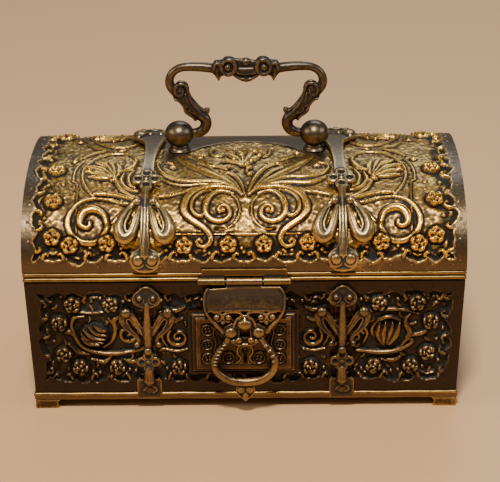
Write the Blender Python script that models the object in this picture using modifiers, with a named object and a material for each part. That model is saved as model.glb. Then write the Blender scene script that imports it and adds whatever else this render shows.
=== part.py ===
# Small domed jewel casket of stamped and cast brass.
# The case is a tapered box with a stamped panel on each wall; the lid is a vault with a stamped cover.
# A hinged hasp with a pear-shaped ring hangs over the lock, and a cast bail swings between two ball knobs.
# The frame stands on z = 0, x runs along the front, y runs to the back, and all sizes are in metres.

import math

import bmesh
import bpy
from mathutils import Matrix, Vector

MM = 0.001
GAP = 0.3 * MM
WELD = 0.001 * MM
FILL_ANGLE = 0.31
FLAT_ANGLE = 0.002

# Case
RIM_HALF_WIDTH = 80.0 * MM
RIM_HALF_DEPTH = 48.0 * MM
RIM_OVERHANG_SIDE = 0.4 * MM
RIM_OVERHANG_FRONT = 0.2 * MM
LEAN_SIDE = 1.6 * MM
LEAN_FRONT = 1.8 * MM
WALL_HALF_WIDTH_TOP = RIM_HALF_WIDTH - RIM_OVERHANG_SIDE
WALL_HALF_WIDTH_BOTTOM = WALL_HALF_WIDTH_TOP - LEAN_SIDE
WALL_HALF_DEPTH_TOP = RIM_HALF_DEPTH - RIM_OVERHANG_FRONT
WALL_HALF_DEPTH_BOTTOM = WALL_HALF_DEPTH_TOP - LEAN_FRONT
FOOT_HEIGHT = 3.5 * MM
BASE_BOTTOM = FOOT_HEIGHT + GAP
BASE_THICKNESS = 2.6 * MM
BASE_OVERHANG = 0.5 * MM
WALL_BOTTOM = BASE_BOTTOM + BASE_THICKNESS + GAP
WALL_HEIGHT = 44.9 * MM
WALL_TOP = WALL_BOTTOM + WALL_HEIGHT
RIM_HEIGHT = 1.6 * MM
RIM_WIDTH = 4.6 * MM
CASE_RIM_BOTTOM = WALL_TOP + GAP
CASE_RIM_TOP = CASE_RIM_BOTTOM + RIM_HEIGHT
SHELL_THICKNESS = 0.9 * MM
LINING_THICKNESS = 1.0 * MM
FOOT_WIDTH = 9.5 * MM
FOOT_DEPTH = 8.0 * MM
FOOT_TOE = 6.6 * MM
FOOT_THICKNESS = 1.8 * MM

# Stamped sheet: a plain border with a torn inner edge, a sunk ground and roses along the border
PANEL_THICKNESS = 1.5 * MM
BORDER_THICKNESS = 1.1 * MM
GROUND_DEPTH = 0.75 * MM
GROUND_OVERLAP = 1.6 * MM
BORDER_WIDTH = 5.0 * MM
TEAR_DEPTH = 1.4 * MM
TEAR_BACK = 0.5 * MM
TEAR_SHAPE = ((0.06, -TEAR_BACK), (0.5, TEAR_DEPTH))
TEAR_PITCH_CASE = 7.2 * MM
TEAR_PITCH_LID = 7.8 * MM
ROSE_RADIUS = 3.0 * MM
ROSE_HEIGHT = 1.9 * MM
ROSE_SINK = 0.3 * MM
END_ROSE_HEIGHT = 1.05 * MM
END_ROSE_RADIUS = 2.6 * MM

# Lid
SEAM_GAP = 0.3 * MM
LID_RIM_BOTTOM = CASE_RIM_TOP + SEAM_GAP
LID_RIM_TOP = LID_RIM_BOTTOM + RIM_HEIGHT
ARCH_SPRING = LID_RIM_TOP + GAP
ARCH_RISE = 29.9 * MM
ARCH_FULLNESS = 2.3
ARCH_STEPS = 16
COVER_HALF_WIDTH = RIM_HALF_WIDTH
END_INSET = 0.3 * MM
COVER_DEPTH = PANEL_THICKNESS
LID_SHELL_DEPTH = COVER_DEPTH + GAP
LID_LINING_DEPTH = LID_SHELL_DEPTH + SHELL_THICKNESS + GAP

# Straps
STRAP_FROM_END = 44.5 * MM
STRAP_X = RIM_HALF_WIDTH - STRAP_FROM_END
STRAP_THICKNESS = 1.2 * MM
STRAP_CLEARANCE = GAP
SHIELD_HALF_WIDTH = 4.8 * MM
BOSS_RADIUS = 1.9 * MM
BOSS_HEIGHT = 1.2 * MM
WING_TUBE = 1.1 * MM
LOBE_RADIUS = 1.75 * MM
LOBE_SPREAD = 2.6 * MM
CROWN_THICKNESS = 2.0 * MM

# Handle
HANDLE_X = 1.0 * MM
KNOB_SPREAD = 25.3 * MM
KNOB_RADIUS = 5.4 * MM
KNOB_HALF_HEIGHT = 4.8 * MM
KNOB_FLANGE_RADIUS = 4.2 * MM
KNOB_NECK_RADIUS = 3.3 * MM
KNOB_NECK_HEIGHT = 1.65 * MM
KNOB_FLANGE_HEIGHT = 0.8 * MM
STUD_RADIUS = 1.25 * MM
STUD_PLAY = 0.3 * MM
NUT_RADIUS = 3.4 * MM
NUT_HEIGHT = 2.0 * MM
THREAD_PLAY = 0.15 * MM
BAIL_TUBE = 1.75 * MM
BAIL_RISE = 26.2 * MM
BAIL_REACH = 27.9 * MM
PIVOT_RADIUS = 1.1 * MM
PIVOT_PLAY = 0.3 * MM
PIVOT_LENGTH = 3.6 * MM

# Rear hinges
HINGE_FROM_END = 26.0 * MM
HINGE_X = RIM_HALF_WIDTH - HINGE_FROM_END
HINGE_WIDTH = 22.0 * MM
HINGE_MIDDLE = 8.4 * MM
KNUCKLE_RADIUS = 1.5 * MM
PIN_RADIUS = 0.7 * MM
PIN_PLAY = 0.2 * MM
LEAF_THICKNESS = 0.8 * MM
LEAF_HEIGHT = 5.6 * MM
LEAF_INSET = 0.05 * MM
HINGE_Y = RIM_HALF_DEPTH + GAP + KNUCKLE_RADIUS + 0.1 * MM
HINGE_Z = (CASE_RIM_TOP + LID_RIM_BOTTOM) / 2

# Hasp
HASP_BARREL_RADIUS = 1.4 * MM
HASP_BARREL_WIDTH = 33.6 * MM
HASP_MIDDLE = 13.8 * MM
HASP_LEAF_WIDTH = 31.0 * MM
HASP_LEAF_HEIGHT = 3.0 * MM
HASP_Y = -(RIM_HALF_DEPTH + GAP + HASP_BARREL_RADIUS)
HASP_Z = CASE_RIM_TOP - 0.7 * MM
HASP_THICKNESS = 1.2 * MM
HASP_CLEARANCE = 0.55 * MM
RING_TUBE = 1.2 * MM

# Lock
LOCK_X = -0.5 * MM
LOCK_HALF_WIDTH = 20.1 * MM
LOCK_HALF_HEIGHT = 13.1 * MM
LOCK_CENTRE = 21.5 * MM
LOCK_PROUD = 3.5 * MM
LOCK_STEP = 1.25 * MM
LOCK_FACE = 0.7 * MM
LOCK_RECESS = 0.4 * MM
LOCK_FRAME = 4.8 * MM
KEYHOLE_RADIUS = 1.35 * MM
KEYHOLE_WIDTH = 1.4 * MM
KEYHOLE_DROP = 5.2 * MM
KEYHOLE_X = 0.5 * MM
KEYHOLE_Y = -2.7 * MM
BACKPLATE_THICKNESS = 0.6 * MM
STAPLE_WIDTH = 1.8 * MM
STAPLE_PLAY = 0.6 * MM
STAPLE_Y = 8.2 * MM
STAPLE_HALF_HEIGHT = 2.3 * MM
BOLT_LENGTH = 13.5 * MM
BOLT_HEIGHT = 1.7 * MM
BOLT_THICKNESS = 0.9 * MM
# Outline of the tail that the key pushes, as places behind the bolt's end and below its edge
BOLT_TAIL = ((9.2, 0.0), (9.2, 5.6), (7.7, 5.6), (7.3, 4.0), (5.9, 4.0), (5.5, 5.6), (4.0, 5.6), (4.0, 0.0))
STAPLE_BAR = 0.45 * MM
STAPLE_FOOT = 1.2 * MM
STAPLE_EYE_HALF_HEIGHT = 1.5 * MM


def front_y(z, proud=0.0):
    """Depth of the front wall's face at a height."""
    share = (z - WALL_BOTTOM) / WALL_HEIGHT
    return -(WALL_HALF_DEPTH_BOTTOM + (WALL_HALF_DEPTH_TOP - WALL_HALF_DEPTH_BOTTOM) * share) - proud


# The acorn on the hasp reaches farthest forward, the rear hinges farthest back, and y = 0 is halfway.
HASP_WAIST = -22.0 * MM
ACORN_LIFT = 0.5 * MM
ACORN_DEPTH = 1.5 * MM
HASP_FACE = -front_y(HASP_Z + HASP_WAIST, LOCK_PROUD + HASP_CLEARANCE + HASP_THICKNESS)
FRONT_REACH = HASP_FACE + ACORN_LIFT + ACORN_DEPTH
REAR_REACH = HINGE_Y + KNUCKLE_RADIUS
CENTRE_SHIFT = (FRONT_REACH - REAR_REACH) / 2

BRASS_DARK = ((0.20, 0.135, 0.065), 0.42)
BRASS_AGED = ((0.34, 0.235, 0.10), 0.38)
BRASS_BRIGHT = ((0.62, 0.45, 0.20), 0.30)
BRASS_BROWN = ((0.16, 0.11, 0.06), 0.36)
STEEL_DARK = ((0.20, 0.19, 0.18), 0.45)
VELVET = ((0.22, 0.03, 0.04), 0.95)


def clear_scene():
    for item in list(bpy.data.objects):
        bpy.data.objects.remove(item, do_unlink=True)


def make_collection(name):
    collection = bpy.data.collections.new(name)
    bpy.context.scene.collection.children.link(collection)
    return collection


clear_scene()
CHEST = make_collection("jewel_casket")
TOOLS = make_collection("cutters")


def finish(name, look, metallic=1.0):
    """Plain material of one sub-part."""
    colour, roughness = look
    material = bpy.data.materials.new(name)
    material.use_nodes = True
    shader = material.node_tree.nodes["Principled BSDF"]
    shader.inputs["Base Color"].default_value = (*colour, 1.0)
    shader.inputs["Roughness"].default_value = roughness
    shader.inputs["Metallic"].default_value = metallic
    material.diffuse_color = (*colour, 1.0)
    return material


def evaluated_mesh(item):
    bpy.context.view_layer.update()
    graph = bpy.context.evaluated_depsgraph_get()
    return bpy.data.meshes.new_from_object(item.evaluated_get(graph))


def weld(mesh, distance=WELD):
    work = bmesh.new()
    work.from_mesh(mesh)
    bmesh.ops.remove_doubles(work, verts=work.verts, dist=distance)
    bmesh.ops.recalc_face_normals(work, faces=work.faces)
    work.to_mesh(mesh)
    work.free()
    return mesh


def mesh_of_curve(curve):
    """Closed mesh of a curve whose caps are welded on."""
    item = bpy.data.objects.new("curve_work", curve)
    TOOLS.objects.link(item)
    mesh = evaluated_mesh(item)
    bpy.data.objects.remove(item, do_unlink=True)
    return weld(mesh)


def plate(outlines, low, high):
    """Flat plate between two heights: the outer outline first, then its holes.

    It is filled askew, so that no two of its corners lie level.
    """
    curve = bpy.data.curves.new("outline", "CURVE")
    curve.dimensions = "2D"
    curve.fill_mode = "BOTH"
    curve.extrude = (high - low) / 2
    askew = Matrix.Rotation(FILL_ANGLE, 4, "Z")
    for outline in outlines:
        spline = curve.splines.new("POLY")
        spline.points.add(len(outline) - 1)
        for point, (x, y) in zip(spline.points, outline):
            point.co = (*(askew @ Vector((x, y, 0))), 1)
        spline.use_cyclic_u = True
    mesh = turned_about(mesh_of_curve(curve), -FILL_ANGLE, "Z")
    return moved(mesh, (0, 0, (low + high) / 2))


def tube(points, radii, closed=False, detail=1):
    """Round rod along points in space, with one radius or a radius for each point."""
    if not isinstance(radii, (list, tuple)):
        radii = [radii] * len(points)
    widest = max(radii)
    curve = bpy.data.curves.new("rod", "CURVE")
    curve.dimensions = "3D"
    curve.fill_mode = "FULL"
    curve.bevel_depth = widest
    curve.bevel_resolution = detail
    curve.use_fill_caps = True
    spline = curve.splines.new("POLY")
    spline.points.add(len(points) - 1)
    for point, place, radius in zip(spline.points, points, radii):
        point.co = (*place, 1)
        point.radius = radius / widest
    spline.use_cyclic_u = closed
    return mesh_of_curve(curve)


def moved(mesh, offset):
    mesh.transform(Matrix.Translation(Vector(offset)))
    return mesh


def turned_about(mesh, angle, axis):
    mesh.transform(Matrix.Rotation(angle, 4, axis))
    return mesh


def mesh_from_work(work, name="shape"):
    mesh = bpy.data.meshes.new(name)
    work.to_mesh(mesh)
    work.free()
    return mesh


def ball(centre, radii, segments=8, rings=5):
    work = bmesh.new()
    bmesh.ops.create_uvsphere(work, u_segments=segments, v_segments=rings, radius=1.0)
    bmesh.ops.scale(work, vec=Vector(radii), verts=work.verts)
    bmesh.ops.translate(work, vec=Vector(centre), verts=work.verts)
    return mesh_from_work(work)


def block(low, high):
    work = bmesh.new()
    bmesh.ops.create_cube(work, size=1.0)
    low = Vector(low)
    high = Vector(high)
    bmesh.ops.scale(work, vec=high - low, verts=work.verts)
    bmesh.ops.translate(work, vec=(low + high) / 2, verts=work.verts)
    return mesh_from_work(work)


def rod(start, end, radius, tip=None, sides=12):
    """Straight cylinder or cone between two points."""
    start = Vector(start)
    run = Vector(end) - start
    work = bmesh.new()
    bmesh.ops.create_cone(
        work,
        cap_ends=True,
        segments=sides,
        radius1=radius,
        radius2=radius if tip is None else tip,
        depth=run.length,
    )
    turn = Vector((0, 0, 1)).rotation_difference(run).to_matrix().to_4x4()
    bmesh.ops.transform(work, matrix=Matrix.Translation(start + run / 2) @ turn, verts=work.verts)
    return mesh_from_work(work)


def turned(profile, steps=14):
    """Solid of revolution about Z: the profile runs down its outer side, from axis to axis."""
    work = bmesh.new()
    points = [work.verts.new((x, 0, z)) for x, z in profile]
    for first, second in zip(points, points[1:]):
        work.edges.new((first, second))
    item = bpy.data.objects.new("turned_work", mesh_from_work(work))
    TOOLS.objects.link(item)
    screw = item.modifiers.new("turn", "SCREW")
    screw.steps = steps
    screw.render_steps = steps
    screw.use_merge_vertices = True
    screw.merge_threshold = WELD
    mesh = evaluated_mesh(item)
    bpy.data.objects.remove(item, do_unlink=True)
    return weld(mesh)


def shell(mesh, thickness):
    """Sheet of even thickness laid on the inner side of an open surface."""
    item = bpy.data.objects.new("shell_work", mesh)
    TOOLS.objects.link(item)
    solid = item.modifiers.new("sheet", "SOLIDIFY")
    solid.thickness = thickness
    solid.offset = -1.0
    solid.use_even_offset = True
    result = evaluated_mesh(item)
    bpy.data.objects.remove(item, do_unlink=True)
    return result


def combine(mesh, others, operation):
    """The mesh joined with, or cut by, each of the other shapes in turn."""
    for other in others:
        body = bpy.data.objects.new("body_work", mesh)
        TOOLS.objects.link(body)
        tool = bpy.data.objects.new("tool_work", other)
        tool.hide_render = True
        tool.display_type = "WIRE"
        TOOLS.objects.link(tool)
        change = body.modifiers.new("combine", "BOOLEAN")
        change.operation = operation
        change.solver = "EXACT"
        change.object = tool
        result = evaluated_mesh(body)
        bpy.data.objects.remove(body, do_unlink=True)
        bpy.data.objects.remove(tool, do_unlink=True)
        mesh = weld(result)
    return mesh


def fused(mesh, *others):
    return combine(mesh, others, "UNION")


def cut(mesh, *others):
    return combine(mesh, others, "DIFFERENCE")


def rounded(mesh, width, segments=1, angle=50):
    """Edges sharper than the angle get a small round."""
    item = bpy.data.objects.new("round_work", mesh)
    TOOLS.objects.link(item)
    bevel = item.modifiers.new("round", "BEVEL")
    bevel.width = width
    bevel.segments = segments
    bevel.limit_method = "ANGLE"
    bevel.angle_limit = math.radians(angle)
    result = evaluated_mesh(item)
    bpy.data.objects.remove(item, do_unlink=True)
    return result


def joined(meshes):
    """Several shapes that don't touch, as one tool."""
    work = bmesh.new()
    for mesh in meshes:
        work.from_mesh(mesh)
    return mesh_from_work(work)


def add_part(name, mesh, look, metallic=1.0, place=(0, 0, 0), turn=(0, 0, 0), parent=None):
    """Named object of one sub-part, with its own material."""
    mesh.name = name
    mesh.materials.clear()
    mesh.materials.append(finish(name, look, metallic))
    mesh.shade_smooth()
    mesh.set_sharp_from_angle(angle=math.radians(38))
    item = bpy.data.objects.new(name, mesh)
    CHEST.objects.link(item)
    item.location = place
    item.rotation_euler = turn
    item.parent = parent
    return item


def add_frame(name, place, parent=None):
    """Empty that carries what moves together."""
    frame = bpy.data.objects.new(name, None)
    frame.empty_display_size = 10 * MM
    CHEST.objects.link(frame)
    frame.location = place
    frame.parent = parent
    return frame


CASE = add_frame("case_frame", (0, CENTRE_SHIFT, 0))
LID = add_frame("lid_frame", (0, HINGE_Y, HINGE_Z), CASE)
HASP = add_frame("hasp_frame", (0, HASP_Y - HINGE_Y, HASP_Z - HINGE_Z), LID)


def from_lid(x, y, z):
    """A place in the case's frame, as the lid's frame counts it."""
    return (x, y - HINGE_Y, z - HINGE_Z)


def from_hasp(x, y, z):
    return (x, y - HASP_Y, z - HASP_Z)


FRONT_TILT = math.atan2(WALL_HALF_DEPTH_TOP - WALL_HALF_DEPTH_BOTTOM, WALL_HEIGHT)
SIDE_TILT = math.atan2(WALL_HALF_WIDTH_TOP - WALL_HALF_WIDTH_BOTTOM, WALL_HEIGHT)
FRONT_SLOPE_HEIGHT = math.hypot(WALL_HALF_DEPTH_TOP - WALL_HALF_DEPTH_BOTTOM, WALL_HEIGHT)
SIDE_SLOPE_HEIGHT = math.hypot(WALL_HALF_WIDTH_TOP - WALL_HALF_WIDTH_BOTTOM, WALL_HEIGHT)
WALLS = {
    "front": ((0, -WALL_HALF_DEPTH_BOTTOM), (math.pi / 2 + FRONT_TILT, 0, 0)),
    "back": ((0, WALL_HALF_DEPTH_BOTTOM), (math.pi / 2 + FRONT_TILT, 0, math.pi)),
    "right": ((WALL_HALF_WIDTH_BOTTOM, 0), (math.pi / 2 + SIDE_TILT, 0, math.pi / 2)),
    "left": ((-WALL_HALF_WIDTH_BOTTOM, 0), (math.pi / 2 + SIDE_TILT, 0, -math.pi / 2)),
}


def add_on_wall(name, mesh, side, look):
    """Piece drawn flat with x along the wall, y up the wall and z out of it."""
    (x, y), turn = WALLS[side]
    return add_part(name, mesh, look, place=(x, y, WALL_BOTTOM), turn=turn, parent=CASE)


def torn_run(start, end, pitch):
    """One side of a torn edge, walked with the border on the right: shallow bays between sharp cusps."""
    start = Vector(start)
    end = Vector(end)
    run = end - start
    count = max(1, round(run.length / pitch))
    step = run / count
    inward = Vector((-run.y, run.x)).normalized()
    points = []
    for number in range(count):
        corner = start + step * number
        for share, depth in TEAR_SHAPE:
            points.append(tuple(corner + step * share + inward * depth))
    return points


def torn_outline(corners, pitch):
    """Closed torn edge around a polygon that runs counter-clockwise."""
    points = []
    for start, end in zip(corners, corners[1:] + corners[:1]):
        points += torn_run(start, end, pitch)
    return points


def inset(corners, distance):
    """Convex polygon, counter-clockwise, moved in by a distance."""
    result = []
    count = len(corners)
    for number in range(count):
        before = Vector(corners[number - 1])
        here = Vector(corners[number])
        after = Vector(corners[(number + 1) % count])
        first = (here - before).normalized()
        second = (after - here).normalized()
        first_in = Vector((-first.y, first.x))
        second_in = Vector((-second.y, second.x))
        bisector = (first_in + second_in).normalized()
        result.append(tuple(here + bisector * distance / bisector.dot(first_in)))
    return result


def rose(x, y, height=ROSE_HEIGHT, radius=ROSE_RADIUS):
    """Round rose boss that stands out of the ground."""
    foot = -GROUND_DEPTH - ROSE_SINK
    petals = ball((x, y, foot), (radius, radius, height + ROSE_SINK), segments=6, rings=4)
    return cut_below(petals, foot)


def cut_below(mesh, level):
    """Keeps what lies above a level and closes it there."""
    work = bmesh.new()
    work.from_mesh(mesh)
    everything = work.verts[:] + work.edges[:] + work.faces[:]
    bmesh.ops.bisect_plane(
        work, geom=everything, plane_co=(0, 0, level), plane_no=(0, 0, 1), clear_inner=True, dist=WELD
    )
    rim = [edge for edge in work.edges if edge.is_boundary]
    bmesh.ops.contextual_create(work, geom=rim)
    bmesh.ops.recalc_face_normals(work, faces=work.faces)
    work.to_mesh(mesh)
    work.free()
    return mesh


def stamped_panel(corners, pitch, bosses):
    """Border plate with a torn opening, filled by the sunk ground and its bosses."""
    opening = inset(corners, BORDER_WIDTH)
    border = plate([corners, torn_outline(opening, pitch)], -BORDER_THICKNESS, 0)
    ground_edge = inset(corners, BORDER_WIDTH - GROUND_OVERLAP)
    ground = plate([ground_edge], -PANEL_THICKNESS, -GROUND_DEPTH)
    panel = fused(border, ground)
    return fused(panel, joined(bosses)) if bosses else panel


def volute(x, y, radius, turns, hand, tube_radius, start=0.0, steps=11):
    """Scroll that winds in to its centre, lying on the ground."""
    points = []
    radii = []
    for number in range(steps + 1):
        share = number / steps
        angle = start + hand * turns * 2 * math.pi * share
        reach = radius * (1 - 0.82 * share)
        points.append((x + reach * math.cos(angle), y + reach * math.sin(angle), -GROUND_DEPTH + 0.25 * MM))
        radii.append(tube_radius * (1 - 0.35 * share))
    return tube(points, radii, detail=0)


def wall_corners(half_top, half_bottom, height):
    return [(-half_bottom, 0), (half_bottom, 0), (half_top, height), (-half_top, height)]


# Roses as places in from the end of the wall and up from its foot, and two beside the lock
ROSES_WALL = ((31.1, 36.0), (17.1, 36.0), (11.8, 28.4), (12.4, 15.6), (18.2, 9.9), (32.1, 10.0))
ROSES_LOCK = ((-24.8, 9.9), (24.3, 9.9))
ROSES_SIDE = ((33.9, 36.0), (19.9, 36.0), (9.9, 29.0), (10.1, 16.0), (19.9, 9.9), (33.9, 9.9))
BUD_FROM_END = 25.0
BUD_HEIGHT = 23.8
BUD_RADII = (5.4, 4.6, 1.9)
END_BUD_HEIGHT = 1.3


def mirrored_pairs(places):
    return [(side * x * MM, y * MM) for x, y in places for side in (-1, 1)]


def from_both_ends(half_width, places):
    """Places counted in from both ends of a wall."""
    return [(side * (half_width - x * MM), y * MM) for x, y in places for side in (-1, 1)]


def bud(x, y, height=BUD_RADII[2]):
    """Flower head in the middle of a field."""
    foot = -GROUND_DEPTH - ROSE_SINK
    radii = (BUD_RADII[0] * MM, BUD_RADII[1] * MM, height * MM)
    return cut_below(ball((x, y, foot), radii, segments=8, rings=4), foot)


def build_case_panels():
    corners = wall_corners(WALL_HALF_WIDTH_TOP, WALL_HALF_WIDTH_BOTTOM, FRONT_SLOPE_HEIGHT)
    for side in ("front", "back"):
        bosses = [rose(x, y) for x, y in from_both_ends(RIM_HALF_WIDTH, ROSES_WALL)]
        bosses += [bud(x, y) for x, y in from_both_ends(RIM_HALF_WIDTH, [(BUD_FROM_END, BUD_HEIGHT)])]
        if side == "front":
            bosses += [rose(x * MM, y * MM) for x, y in ROSES_LOCK]
        panel = stamped_panel(corners, TEAR_PITCH_CASE, bosses)
        add_on_wall(f"case_panel_{side}", panel, side, BRASS_DARK)
    depth_top = WALL_HALF_DEPTH_TOP - PANEL_THICKNESS - GAP
    depth_bottom = WALL_HALF_DEPTH_BOTTOM - PANEL_THICKNESS - GAP
    corners = wall_corners(depth_top, depth_bottom, SIDE_SLOPE_HEIGHT)
    for side in ("left", "right"):
        places = from_both_ends(depth_top, ROSES_SIDE)
        bosses = [rose(x, y, END_ROSE_HEIGHT) for x, y in places]
        bosses.append(bud(0, BUD_HEIGHT * MM, END_BUD_HEIGHT))
        panel = stamped_panel(corners, TEAR_PITCH_CASE, bosses)
        add_on_wall(f"case_panel_{side}", panel, side, BRASS_DARK)


def tapered_tray(half_width, half_depth, spread_x, spread_y, low, high, thickness):
    """Open box whose walls lean out towards the top."""
    work = bmesh.new()
    bmesh.ops.create_cube(work, size=1.0)
    for vert in work.verts:
        top = vert.co.z > 0
        vert.co.x = math.copysign(half_width + (spread_x if top else 0), vert.co.x)
        vert.co.y = math.copysign(half_depth + (spread_y if top else 0), vert.co.y)
        vert.co.z = high if top else low
    lid_faces = [face for face in work.faces if face.normal.z > 0.9]
    bmesh.ops.delete(work, geom=lid_faces, context="FACES_ONLY")
    return shell(mesh_from_work(work), thickness)


def build_case_shell():
    """Plain inner box that carries the stamped panels, and the velvet-covered card inside it."""
    back_off = PANEL_THICKNESS + GAP
    spread_x = WALL_HALF_WIDTH_TOP - WALL_HALF_WIDTH_BOTTOM
    spread_y = WALL_HALF_DEPTH_TOP - WALL_HALF_DEPTH_BOTTOM
    body = tapered_tray(
        WALL_HALF_WIDTH_BOTTOM - back_off,
        WALL_HALF_DEPTH_BOTTOM - back_off,
        spread_x,
        spread_y,
        WALL_BOTTOM,
        WALL_TOP,
        SHELL_THICKNESS,
    )
    add_part("case_shell", body, BRASS_AGED, parent=CASE)
    back_off += SHELL_THICKNESS + GAP
    floor = SHELL_THICKNESS + GAP
    lean_x = spread_x * floor / WALL_HEIGHT
    lean_y = spread_y * floor / WALL_HEIGHT
    lining = tapered_tray(
        WALL_HALF_WIDTH_BOTTOM - back_off + lean_x,
        WALL_HALF_DEPTH_BOTTOM - back_off + lean_y,
        spread_x - lean_x,
        spread_y - lean_y,
        WALL_BOTTOM + floor,
        WALL_TOP,
        LINING_THICKNESS,
    )
    add_part("case_lining", lining, VELVET, metallic=0.0, parent=CASE)


def rim_ring(low, high):
    """Rectangular band with a rounded outer edge."""
    outer = [
        (-RIM_HALF_WIDTH, -RIM_HALF_DEPTH),
        (RIM_HALF_WIDTH, -RIM_HALF_DEPTH),
        (RIM_HALF_WIDTH, RIM_HALF_DEPTH),
        (-RIM_HALF_WIDTH, RIM_HALF_DEPTH),
    ]
    ring = plate([outer, inset(outer, RIM_WIDTH)], low, high)
    return rounded(ring, 0.35 * MM)


def build_rims():
    add_part("case_rim", rim_ring(CASE_RIM_BOTTOM, CASE_RIM_TOP), BRASS_BRIGHT, parent=CASE)
    ring = moved(rim_ring(LID_RIM_BOTTOM, LID_RIM_TOP), from_lid(0, 0, 0))
    add_part("lid_rim", ring, BRASS_BRIGHT, parent=LID)


def build_base():
    """Base tray with a moulded edge, and four bracket feet under its corners."""
    half_x = WALL_HALF_WIDTH_BOTTOM + BASE_OVERHANG
    half_y = WALL_HALF_DEPTH_BOTTOM + BASE_OVERHANG
    outer = [(-half_x, -half_y), (half_x, -half_y), (half_x, half_y), (-half_x, half_y)]
    body = rounded(plate([outer], BASE_BOTTOM, BASE_BOTTOM + BASE_THICKNESS), 0.5 * MM, segments=2)
    edge = FOOT_DEPTH + 2 * MM
    hollow = block(
        (-half_x + edge, -half_y + edge, BASE_BOTTOM - 1 * MM),
        (half_x - edge, half_y - edge, BASE_BOTTOM + BASE_THICKNESS - SHELL_THICKNESS),
    )
    add_part("base_plate", cut(body, hollow), BRASS_AGED, parent=CASE)
    for side_x, name_x in ((-1, "left"), (1, "right")):
        for side_y, name_y in ((-1, "front"), (1, "back")):
            foot = bracket_foot()
            foot.transform(Matrix.Diagonal((side_x, side_y, 1, 1)))
            foot = moved(weld(foot), (side_x * half_x, side_y * half_y, 0))
            add_part(f"foot_{name_y}_{name_x}", foot, BRASS_AGED, parent=CASE)


def foot_leg(length, toe):
    """Outline of one leg of a bracket foot, with a hollowed inner side."""
    points = [(0, 0), (-toe, 0)]
    for number in range(1, 5):
        share = number / 4
        points.append((-toe - (length - toe) * share**2, FOOT_HEIGHT * share))
    points.append((0, FOOT_HEIGHT))
    return [(x - 0.4 * MM, y) for x, y in reversed(points)]


def bracket_foot():
    """Two legs that meet at the corner, drawn for the right back corner of the base."""
    across = turned_about(plate([foot_leg(FOOT_WIDTH, FOOT_TOE)], 0, FOOT_THICKNESS), math.pi / 2, "X")
    across = moved(across, (0, -0.4 * MM, 0))
    along = plate([foot_leg(FOOT_DEPTH, FOOT_TOE - 1 * MM)], 0, FOOT_THICKNESS)
    along = turned_about(along, math.pi / 2, "X")
    along = turned_about(along, math.pi / 2, "Z")
    along = moved(along, (-0.4 * MM - FOOT_THICKNESS + 0.1 * MM, -0.05 * MM, 0))
    along.transform(Matrix.Diagonal((1, 1, 0.98, 1)))
    along = moved(along, (0, 0, 0.02 * MM))
    return fused(across, along)


def arch_stations():
    """Corners of the lid's outer curve from the front seam to the back, each with its outward offset."""
    power = 2 / ARCH_FULLNESS
    places = []
    for number in range(ARCH_STEPS + 1):
        angle = math.pi * number / ARCH_STEPS
        across = math.cos(angle)
        up = max(math.sin(angle), 0.0)
        y = -math.copysign(abs(across) ** power, across) * RIM_HALF_DEPTH
        if number in (0, ARCH_STEPS):
            up = 0.0
        places.append(Vector((y, ARCH_SPRING + ARCH_RISE * up**power)))
    normals = []
    for start, end in zip(places, places[1:]):
        run = (end - start).normalized()
        normals.append(Vector((-run.y, run.x)))
    offsets = [Vector((-1, 0)) / abs(normals[0].x)]
    for before, after in zip(normals, normals[1:]):
        middle = (before + after).normalized()
        offsets.append(middle / middle.dot(before))
    offsets.append(Vector((1, 0)) / abs(normals[-1].x))
    lengths = [0.0]
    for start, end in zip(places, places[1:]):
        lengths.append(lengths[-1] + (end - start).length)
    return places, offsets, lengths


ARCH_PLACES, ARCH_OFFSETS, ARCH_LENGTHS = arch_stations()
ARCH_LENGTH = ARCH_LENGTHS[-1]


def arch_point(run, height):
    """Depth and height of a point a given way along the arch and out of it."""
    run = min(max(run, 0.0), ARCH_LENGTH)
    index = 0
    while index < ARCH_STEPS - 1 and run > ARCH_LENGTHS[index + 1]:
        index += 1
    share = (run - ARCH_LENGTHS[index]) / (ARCH_LENGTHS[index + 1] - ARCH_LENGTHS[index])
    start = ARCH_PLACES[index] + ARCH_OFFSETS[index] * height
    end = ARCH_PLACES[index + 1] + ARCH_OFFSETS[index + 1] * height
    return start + (end - start) * share


def bent(mesh, follow_facets=True):
    """Flat piece, x along the lid and y round the arch, laid over the arch."""
    work = bmesh.new()
    work.from_mesh(mesh)
    if follow_facets:
        bmesh.ops.dissolve_limit(work, angle_limit=FLAT_ANGLE, verts=work.verts, edges=work.edges)
    for run in ARCH_LENGTHS[1:-1] if follow_facets else ():
        everything = work.verts[:] + work.edges[:] + work.faces[:]
        bmesh.ops.bisect_plane(work, geom=everything, plane_co=(0, run, 0), plane_no=(0, 1, 0), dist=WELD)
    for vert in work.verts:
        place = arch_point(vert.co.y, vert.co.z)
        vert.co = (vert.co.x, place.x, place.y)
    work.to_mesh(mesh)
    work.free()
    return weld(mesh)


def arch_outline(height):
    """The arch as an outline in depth and height, counter-clockwise from the front foot."""
    return [tuple(place + offset * height) for place, offset in zip(ARCH_PLACES, ARCH_OFFSETS)]


ROSES_LID_OUTER = ((17.4, 10.7), (30.8, 11.1))
ROSES_LID_INNER = ((-21.5, 10.4), (-6.4, 10.4), (7.2, 10.4), (22.9, 11.0))
ROSES_LID_EDGE = ((11.0, 13.6), (11.0, 28.3), (11.0, 46.0))
ROSES_END = ((12.0, 8.6), (26.0, 8.6), (33.0, 14.0), (24.0, 19.6), (10.0, 22.6))
END_BUD_PLACE = 14.5
CENTRE_SCROLL_X = 8.7 * MM
CENTRE_SCROLL_RUN = 25.3 * MM
CENTRE_SCROLL_RADIUS = 6.6 * MM
OUTER_SCROLL_FROM_END = 23.6 * MM
OUTER_SCROLL_RUN = 20.4 * MM
OUTER_SCROLL_RADIUS = 6.9 * MM
SCROLL_TUBE = 0.85 * MM
SCROLL_TURNS = 1.5
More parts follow.
